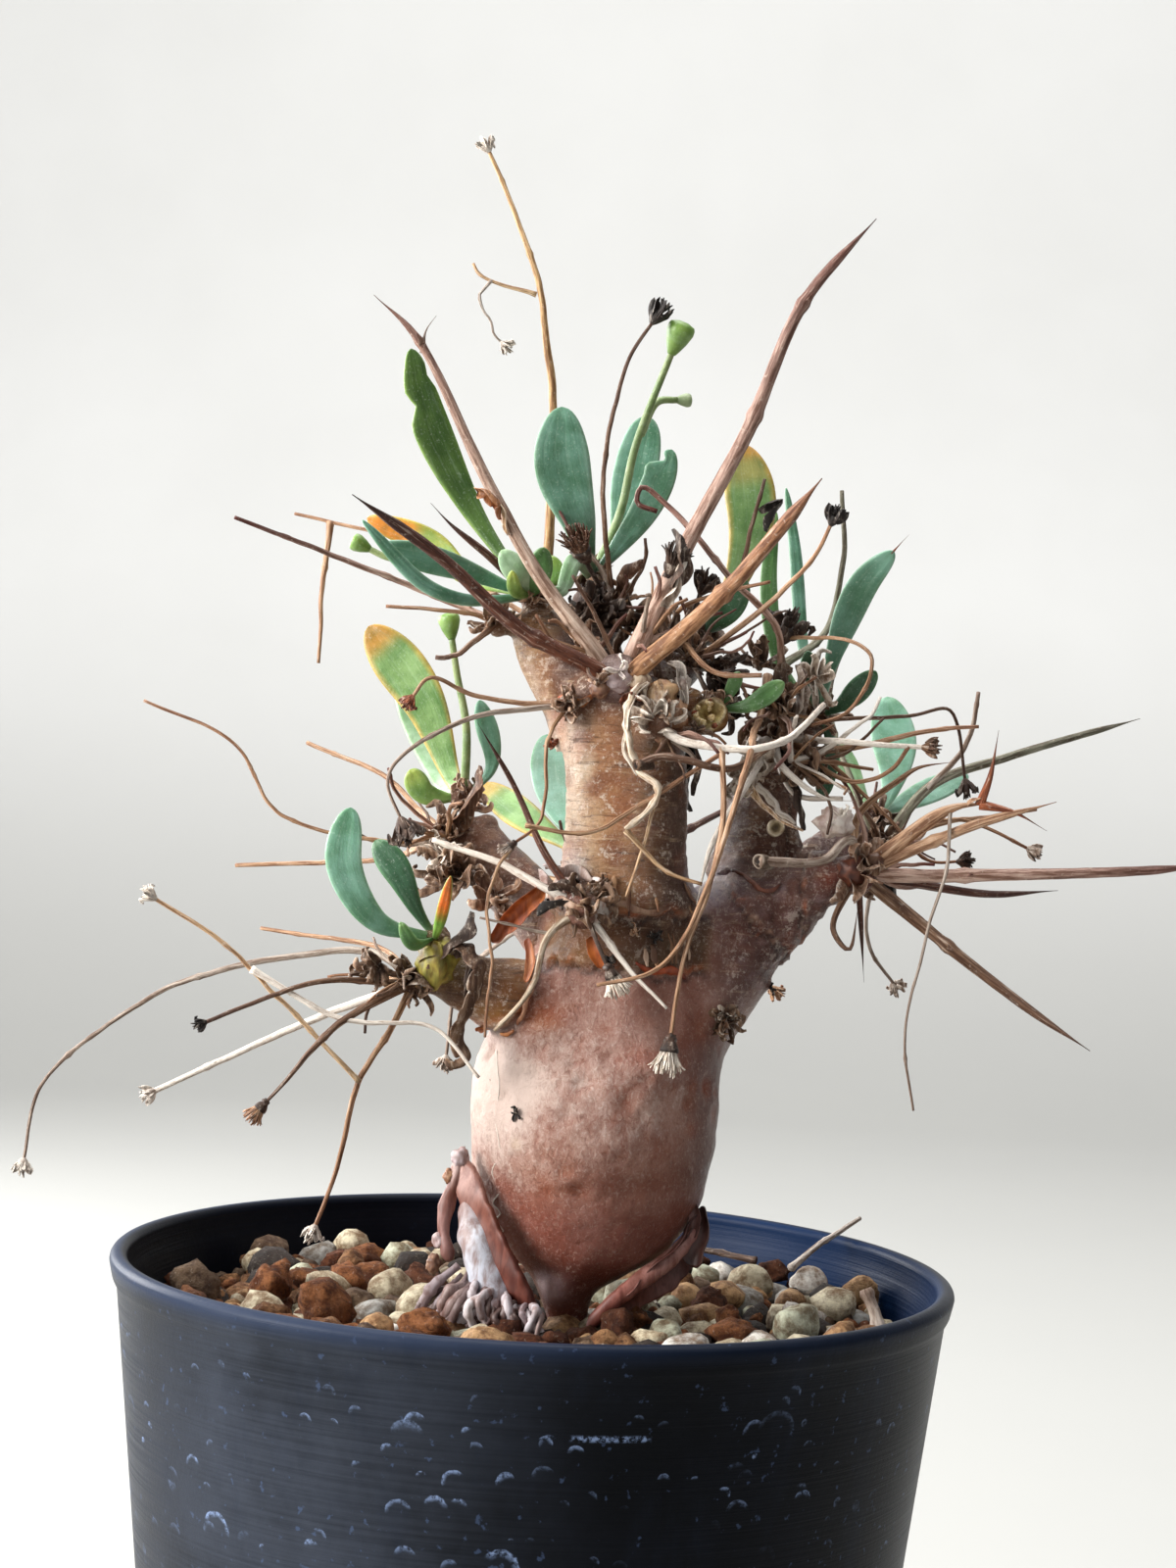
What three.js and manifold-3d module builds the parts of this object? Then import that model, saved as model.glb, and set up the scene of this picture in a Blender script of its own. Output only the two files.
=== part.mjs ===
// A potted othonna: a swollen bare-barked caudex with short arms, dry thorny stalks and small
// blue-green leaves, standing in gravel in a plain tapered pot.
// Millimetres, +Z up. The origin is the middle of the pot's underside, and -Y is the front.
import * as THREE from "three";
import { mergeVertices } from "three/addons/utils/BufferGeometryUtils.js";
import Module from "manifold-3d";

const wasm = await Module();
wasm.setup();

// Driving dimensions
const CLEAR = 0.3;
const POT = {
  height: 90, rimRadius: 52.5, baseRadius: 42, wall: 2.4, floor: 3, lipHeight: 3.2, lipProud: 0.5,
  footBevel: 1.2, rimBevel: 0.9, holeRadius: 3.5, holeCircle: 24, holes: 6, holeSides: 10, sides: 36,
};
const GRAVEL = {
  level: 83.6, spacing: 10.8, size: 5.4, depth: 1.2, seed: 11,
  jitter: 0.2, sizes: [0.8, 1.02], widths: [0.75, 0.98], heights: [0.6, 0.85], tilt: 0.6,
};
const STALK = { min: 0.85, sides: 3, spineSides: 5 };
const DRY_THICK = 0.7;
const LEAF = { thick: 1.5, edge: 0.6, foot: 0.28, narrowFoot: 0.55, belly: 0.68 };
const HEAD = { teeth: 3, seat: 0.2 };
const KNOT_SHARE = 0.6;
const RIPPLES = [[3, 0.9, 0.02], [5, -1.7, 0.015]];

const COLOURS = {
  pot: "#23252d", gravel: "#a98a6a", bark: "#96604a", thorn: "#7d4a35", dry: "#b8977c",
  leaf: "#74a189",
};

// A repeatable draw of numbers from 0 to 1
function randomFrom(seed) {
  let state = seed;
  return () => {
    state = (state + 0x6d2b79f5) | 0;
    let t = Math.imul(state ^ (state >>> 15), 1 | state);
    t = (t + Math.imul(t ^ (t >>> 7), 61 | t)) ^ t;
    return ((t ^ (t >>> 14)) >>> 0) / 4294967296;
  };
}

const vec = (p) => new THREE.Vector3(...p);
const mix = THREE.MathUtils.lerp;

// The value at t, from 0 to 1, of a list of values that are evenly spaced along a route
function along(values, t) {
  const place = t * (values.length - 1);
  const i = Math.min(Math.floor(place), values.length - 2);
  return mix(values[i], values[i + 1], place - i);
}

// A closed geometry through rings of points that turn anticlockwise as seen from the last ring
function loft(rings) {
  const count = rings[0].length;
  const positions = rings.flat().flatMap((p) => [p.x, p.y, p.z]);
  const index = [];
  for (let i = 0; i + 1 < rings.length; i++) {
    for (let j = 0; j < count; j++) {
      const a = i * count + j;
      const b = i * count + ((j + 1) % count);
      index.push(a, b, b + count, a, b + count, a + count);
    }
  }
  const last = (rings.length - 1) * count;
  for (let j = 1; j + 1 < count; j++) {
    index.push(0, j + 1, j);
    index.push(last, last + j, last + j + 1);
  }
  const geometry = new THREE.BufferGeometry();
  geometry.setAttribute("position", new THREE.Float32BufferAttribute(positions, 3));
  geometry.setIndex(index);
  return geometry;
}

// A smooth curve through a route of points, run on past its end where it is to be grown
function curveOf(route, grow = 0) {
  const points = route.map(vec);
  if (grow > 0) {
    const end = points.length - 1;
    points[end].add(points[end].clone().sub(points[end - 1]).setLength(grow));
  }
  return new THREE.CatmullRomCurve3(points, false, "centripetal");
}

// A round branch or stalk along a route of points. widths are diameters spread along it, and
// spans is the number of rings from each point of the route to the next
function tube(route, widths, sides, spans = 1, grow = 0) {
  const curve = curveOf(route, grow);
  const steps = spans * (route.length - 1);
  const rings = [];
  const normal = new THREE.Vector3(0.31, 0.19, 0.93);
  for (let i = 0; i <= steps; i++) {
    const t = i / steps;
    const centre = curve.getPoint(t);
    const radius = along(widths, t) / 2 + grow;
    const tangent = curve.getTangent(t);
    normal.addScaledVector(tangent, -normal.dot(tangent)).normalize();
    const across = new THREE.Vector3().crossVectors(tangent, normal);
    const ring = [];
    for (let j = 0; j < sides; j++) {
      const angle = (2 * Math.PI * j) / sides;
      ring.push(centre.clone()
        .addScaledVector(normal, radius * Math.cos(angle))
        .addScaledVector(across, radius * Math.sin(angle)));
    }
    rings.push(ring);
  }
  return loft(rings);
}

// A flat strip along a route. halfWidths(t) gives its left and right half widths, thick(t) its
// middle thickness, and turn(t) how far its face turns from the front, in radians
function strip(curve, stations, halfWidths, thick, edge, turn) {
  const front = new THREE.Vector3(0, -1, 0);
  const rings = stations.map((t) => {
    const centre = curve.getPointAt(t);
    const tangent = curve.getTangentAt(t);
    const side = new THREE.Vector3().crossVectors(tangent, front);
    if (side.lengthSq() < 0.01) side.set(1, 0, 0);
    side.normalize().applyAxisAngle(tangent, turn(t));
    const up = new THREE.Vector3().crossVectors(side, tangent).normalize();
    const [left, right] = halfWidths(t);
    const at = (across, rise) => centre.clone().addScaledVector(side, across).addScaledVector(up, rise);
    const rise = Math.max(thick(t), edge) / 2;
    const lip = edge / 2;
    return [at(-left, -lip), at(0, -rise), at(right, -lip), at(right, lip), at(0, rise), at(-left, lip)]
      .reverse();
  });
  return loft(rings);
}

// Half width of a spoon-shaped blade as a share of its widest, from a thin foot to a round tip
function spoon(t, foot) {
  const { belly } = LEAF;
  if (t < belly) return mix(foot, 1, Math.sin((Math.PI / 2) * (t / belly)) ** 1.6);
  return Math.max(0.2, Math.sqrt(1 - ((t - belly) / (1 - belly)) ** 2));
}

const bitten = (t) => t > 0.74 && t < 0.9;
const LEAF_FORMS = {
  round: (t) => [spoon(t, LEAF.foot), spoon(t, LEAF.foot)],
  narrow: (t) => [spoon(t, LEAF.narrowFoot), spoon(t, LEAF.narrowFoot)],
  notch: (t) => [spoon(t, LEAF.foot) * (bitten(t) ? 0.5 : 1), spoon(Math.min(t, 0.9), LEAF.foot)],
};

function leaf(route, width, form = "round") {
  const share = LEAF_FORMS[form];
  const stations = form === "notch" ? [0, 0.3, 0.55, 0.73, 0.8, 0.91, 1] : [0, 0.25, 0.48, 0.68, 0.88, 1];
  return strip(
    curveOf(route),
    stations,
    (t) => share(t).map((s) => Math.max((s * width) / 2, LEAF.edge)),
    (t) => mix(LEAF.thick, LEAF.edge * 1.3, t),
    LEAF.edge,
    () => 0,
  );
}

// A withered leaf: a dry strip that twists as it goes
function dead(route, widthFoot, widthTip, twist = 1.6) {
  return strip(
    curveOf(route),
    [0, 0.33, 0.66, 1],
    (t) => Array(2).fill(Math.max(mix(widthFoot, widthTip, t) / 2, DRY_THICK)),
    () => DRY_THICK * 1.4,
    DRY_THICK,
    (t) => 0.5 + twist * t,
  );
}

// A dry flower head: a small toothed cup, opening away from its stalk
function head(at, size, away = [0, 0, 1]) {
  const turn = new THREE.Quaternion().setFromUnitVectors(new THREE.Vector3(0, 0, 1), vec(away).normalize());
  const half = size / 2;
  const levels = [[-0.55, 0.3, 0.3], [0.2, 1, 0.6], [0.75, 0.6, 0.4]];
  const rings = levels.map(([height, tooth, gap]) => {
    const ring = [];
    for (let j = 0; j < 2 * HEAD.teeth; j++) {
      const angle = (Math.PI * j) / HEAD.teeth;
      const radius = half * (j % 2 ? gap : tooth);
      const p = new THREE.Vector3(radius * Math.cos(angle), radius * Math.sin(angle), half * height);
      ring.push(p.applyQuaternion(turn).add(vec(at)));
    }
    return ring;
  });
  return loft(rings);
}

// Short routes are bent more smoothly
const spansOf = (route) => (route.length < 4 ? 2 : 1);

const spine = (route, foot, tip) =>
  [tube(route, [foot, tip].map((w) => Math.max(w, STALK.min)), STALK.spineSides, spansOf(route))];

// A thin dry stalk, with a flower head of the given size at its end where it has one
function stalk(route, foot, tip, headSize = 0) {
  const pieces = [tube(route, [foot, tip].map((w) => Math.max(w, STALK.min)), STALK.sides, spansOf(route))];
  if (headSize > 0) {
    const end = vec(route.at(-1));
    const away = end.clone().sub(vec(route.at(-2))).normalize();
    pieces.push(head(end.addScaledVector(away, headSize * HEAD.seat).toArray(), headSize, away.toArray()));
  }
  return pieces;
}

// A green flower stalk with its closed bud
function bud(route, size) {
  const end = vec(route.at(-1));
  const away = end.clone().sub(vec(route.at(-2))).normalize();
  const points = [-0.2, 0.2, 0.6, 1].map((k) => end.clone().addScaledVector(away, k * size).toArray());
  return [
    tube(route, [1.3, STALK.min], STALK.sides),
    tube(points, [0.9, size, size * 0.9, 0.6], STALK.spineSides),
  ];
}

// A lumpy growing point
function knot(at, size) {
  return new THREE.OctahedronGeometry(size * KNOT_SHARE).translate(...at);
}

// One spray or rosette: the pieces that grow from a shared growing point
const spray = (root, size, pieces) => [knot(root, size), ...pieces(root)];

// Solids
function toSolid(geometry) {
  const bare = geometry.clone();
  bare.deleteAttribute("normal");
  bare.deleteAttribute("uv");
  const merged = mergeVertices(bare, 1e-4);
  const triangles = [];
  const { array } = merged.index;
  for (let i = 0; i < array.length; i += 3) {
    const [a, b, c] = [array[i], array[i + 1], array[i + 2]];
    if (a !== b && b !== c && c !== a) triangles.push(a, b, c);
  }
  return new wasm.Manifold(new wasm.Mesh({
    numProp: 3,
    vertProperties: new Float32Array(merged.attributes.position.array),
    triVerts: new Uint32Array(triangles),
  }));
}

const fuse = (geometries) => geometries.flat().map(toSolid).reduce((whole, piece) => whole.add(piece));

function toGeometry(solid) {
  const mesh = solid.getMesh();
  const geometry = new THREE.BufferGeometry();
  geometry.setAttribute("position", new THREE.BufferAttribute(mesh.vertProperties, 3));
  geometry.setIndex(new THREE.BufferAttribute(mesh.triVerts, 1));
  geometry.computeVertexNormals();
  return geometry;
}

// The largest body of a cut solid, without the loose scraps
function mainBody(solid) {
  const bodies = solid.decompose().sort((a, b) => b.volume() - a.volume());
  return bodies[0];
}

// The pot: a tapered shell with a lip and drain holes round the middle of its floor
const potTaper = (POT.rimRadius - POT.baseRadius) / POT.height;
const potRadius = (z) => POT.baseRadius + potTaper * z;
const potInside = (z) => potRadius(z) - POT.wall;

function potGeometry() {
  const { height, floor, lipHeight, lipProud, footBevel, rimBevel, wall } = POT;
  const lipFoot = height - lipHeight;
  const lipTop = POT.rimRadius - wall / 2;
  const profile = [
    [0, 0], [POT.baseRadius - footBevel, 0], [POT.baseRadius, footBevel],
    [potRadius(lipFoot) - lipProud, lipFoot - lipProud], [potRadius(lipFoot), lipFoot],
    [POT.rimRadius, height - rimBevel], [lipTop + wall / 4, height], [lipTop - wall / 4, height],
    [potInside(height), height - rimBevel], [potInside(floor), floor], [0, floor],
  ].map(([r, z]) => new THREE.Vector2(r, z));
  const shell = new THREE.LatheGeometry(profile, POT.sides).rotateX(Math.PI / 2);
  let pot = toSolid(shell);
  for (let i = 0; i < POT.holes; i++) {
    const angle = (2 * Math.PI * (i + 0.5)) / POT.holes;
    const hole = new THREE.CylinderGeometry(POT.holeRadius, POT.holeRadius, 3 * floor, POT.holeSides);
    hole.rotateX(Math.PI / 2).translate(POT.holeCircle * Math.cos(angle), POT.holeCircle * Math.sin(angle), 0);
    pot = pot.subtract(toSolid(hole));
  }
  return pot;
}

// The bole from the root tip to the crown: height, centre x and y, half width and half depth
const BOLE = [
  [62, 5, -1, 0.8, 0.8], [74, 5, -1.5, 2.3, 2.3], [83, 5.2, -2, 3.6, 3.4], [87, 6.2, -1.5, 6.8, 6.2],
  [91, 6.6, -1, 10.3, 9.4], [96, 7.2, -0.5, 12.8, 11.8], [101, 6.9, 0, 14.4, 13.2], [107, 6.7, 0, 15.5, 14.2],
  [113, 6.9, 0, 15.4, 14], [118.5, 7.6, 0, 14.6, 12.8], [124, 8.5, -0.5, 12, 10.8], [128, 8.8, -1.5, 9.8, 9.4],
  [133, 8.8, -2.5, 8.6, 8.6], [136.3, 8.6, -3, 8.9, 8.8], [138, 8.6, -3, 8.1, 8], [144, 8.7, -4, 7.6, 7.6],
  [151, 8.4, -4, 7.6, 7.5], [157, 7.4, -4, 7.4, 7], [161, 6.6, -4, 6.2, 5.8], [164, 6, -3.5, 3.6, 3.6],
];
const BOLE_SIDES = 14;

// The arms: route, diameters spread along it and number of sides
const ARMS = {
  upperLeft: [[[4, -1, 156], [-1, 0, 164.5], [-4, 1, 169.5], [-4.6, 1, 171.2]], [10, 8.6, 8, 6], 8],
  upperMiddle: [[[6, 0, 157], [4, 4, 166], [2.8, 7, 172], [2.8, 7.4, 174]], [9, 7.4, 6.4, 5], 8],
  cutStub: [[[8, -4, 156], [12, -5, 160], [17, -5.5, 159.6]], [9, 6.6, 5], 8],
  upperRight: [[[8, -1, 158], [13, 3, 164], [16.5, 6, 168]], [8.4, 7, 5.6], 8],
  right: [[[10, 0, 114], [17.5, 1, 124], [23.5, 1.5, 131.5], [29.5, 1.5, 136.5], [35.8, 0, 140.3]],
    [22, 17.5, 15, 9.6, 5.8], 12],
  rightUpper: [[[25.5, 5, 132], [26.3, 8, 141], [26.7, 9, 150], [27.5, 9, 156.5]], [11, 9.4, 8.6, 6], 10],
  rightFork: [[[27, 9, 152], [31.5, 9, 158.5]], [6, 4.6], 8],
  rightBack: [[[26, 7, 134], [35, 17, 141.5], [41, 23.5, 145]], [9, 7, 5], 9],
  left: [[[3, -3, 120], [-5, -4.5, 123], [-11, -6, 125.2], [-14.6, -7, 126.6]], [12, 10.4, 7.2, 5.2], 10],
  leftBack: [[[4, 5, 127], [-4, 10, 135], [-10, 13, 141], [-11.4, 14, 144]], [10, 8.6, 8, 6.4], 9],
  back: [[[6, 6, 122], [5, 19, 129], [4.5, 26.5, 137]], [12, 8.6, 6], 9],
};

// Peeled bark that stands off the foot of the caudex, route and widths
const FLAP = { middle: 1.5, edge: 0.9 };
const FLAPS = [
  [[[-8.4, -4, 102.5], [-5.6, -7.5, 95], [-0.6, -10.6, 87.6], [2.6, -11, 83]], 4.6, 3.2, 0.3],
  [[[-8, -3.6, 101], [-9.4, -5, 96], [-8.6, -6, 91], [-9, -6.5, 86]], 4, 3, -0.4],
  [[[-6, -8, 94], [-5.6, -9.6, 89], [-6.6, -10.6, 84]], 5, 5.4, 0.2],
  [[[-2.4, -10, 89], [-2.6, -11, 86], [-3.6, -12, 83]], 4, 4.4, 0.2],
  [[[21, -2.6, 95], [16.8, -6, 91.2], [10.6, -7.4, 87.4], [6.6, -6.4, 83]], 3.8, 4.2, -0.5],
  [[[20.4, -3.6, 95.4], [18.6, -5, 91], [17, -5.4, 86]], 4.4, 3.4, -0.4],
];

function boleGeometry(grow) {
  const rings = BOLE.map(([z, x, y, across, deep], row) => {
    const ring = [];
    const lift = row === 0 ? -grow : row === BOLE.length - 1 ? grow : 0;
    for (let j = 0; j < BOLE_SIDES; j++) {
      const angle = (2 * Math.PI * j) / BOLE_SIDES;
      const ripple = RIPPLES.reduce((sum, [n, lag, size]) => sum + size * Math.sin(n * angle + lag * row), 1);
      ring.push(new THREE.Vector3(
        x + (across * ripple + grow) * Math.cos(angle),
        y + (deep * ripple + grow) * Math.sin(angle),
        z + lift,
      ));
    }
    return ring;
  });
  return loft(rings);
}

function flapGeometry([route, foot, tip, turn], grow) {
  return strip(
    curveOf(route, grow),
    [0, 0.35, 0.7, 1],
    (t) => [mix(foot, tip, t) / 2 + grow, mix(foot, tip, t) / 2 + grow],
    () => FLAP.middle + 2 * grow,
    FLAP.edge + 2 * grow,
    () => turn,
  );
}

// The caudex with its arms and peeled bark. A grown one is a bit larger all round, for cutting
function caudex(grow = 0) {
  const pieces = [boleGeometry(grow)];
  for (const [route, widths, sides] of Object.values(ARMS)) pieces.push(tube(route, widths, sides, 2, grow));
  for (const flap of FLAPS) pieces.push(flapGeometry(flap, grow));
  if (grow === 0) pieces.push(knot([14.5, -11, 114.5], 6.4), knot([12.5, -10, 131], 3.4));
  return fuse(pieces);
}

// The gravel: a plug that fills the pot, covered in fused grains in close-packed rows
const ROW_STEP = Math.sqrt(3) / 2;

function gravel(hollow) {
  const { level, spacing, size, depth, seed, jitter } = GRAVEL;
  const random = randomFrom(seed);
  const drawn = ([low, high]) => mix(low, high, random());
  const bottom = POT.floor + CLEAR;
  const profile = [
    [0, bottom], [potInside(bottom) - CLEAR, bottom], [potInside(level) - CLEAR, level], [0, level],
  ].map(([r, z]) => new THREE.Vector2(r, z));
  let bed = toSolid(new THREE.LatheGeometry(profile, POT.sides).rotateX(Math.PI / 2));
  const reach = potInside(level) - CLEAR - size * 1.05;
  const rows = Math.ceil(reach / spacing);
  for (let row = -rows - 1; row <= rows + 1; row++) {
    for (let column = -rows - 1; column <= rows + 1; column++) {
      let x = (column + (row % 2 ? 0.5 : 0) + jitter * (random() - 0.5)) * spacing;
      let y = (row * ROW_STEP + jitter * (random() - 0.5)) * spacing;
      const from = Math.hypot(x, y);
      if (from > reach + spacing * 0.45) continue;
      if (from > reach) {
        x *= reach / from;
        y *= reach / from;
      }
      const grain = new THREE.IcosahedronGeometry(size * drawn(GRAVEL.sizes), 0);
      grain.scale(1, drawn(GRAVEL.widths), drawn(GRAVEL.heights));
      grain.rotateX(GRAVEL.tilt * (random() - 0.5));
      grain.rotateZ(2 * Math.PI * random());
      grain.translate(x, y, level + depth * (random() - 0.45));
      bed = bed.add(toSolid(grain));
    }
  }
  return mainBody(bed.subtract(hollow));
}

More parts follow.
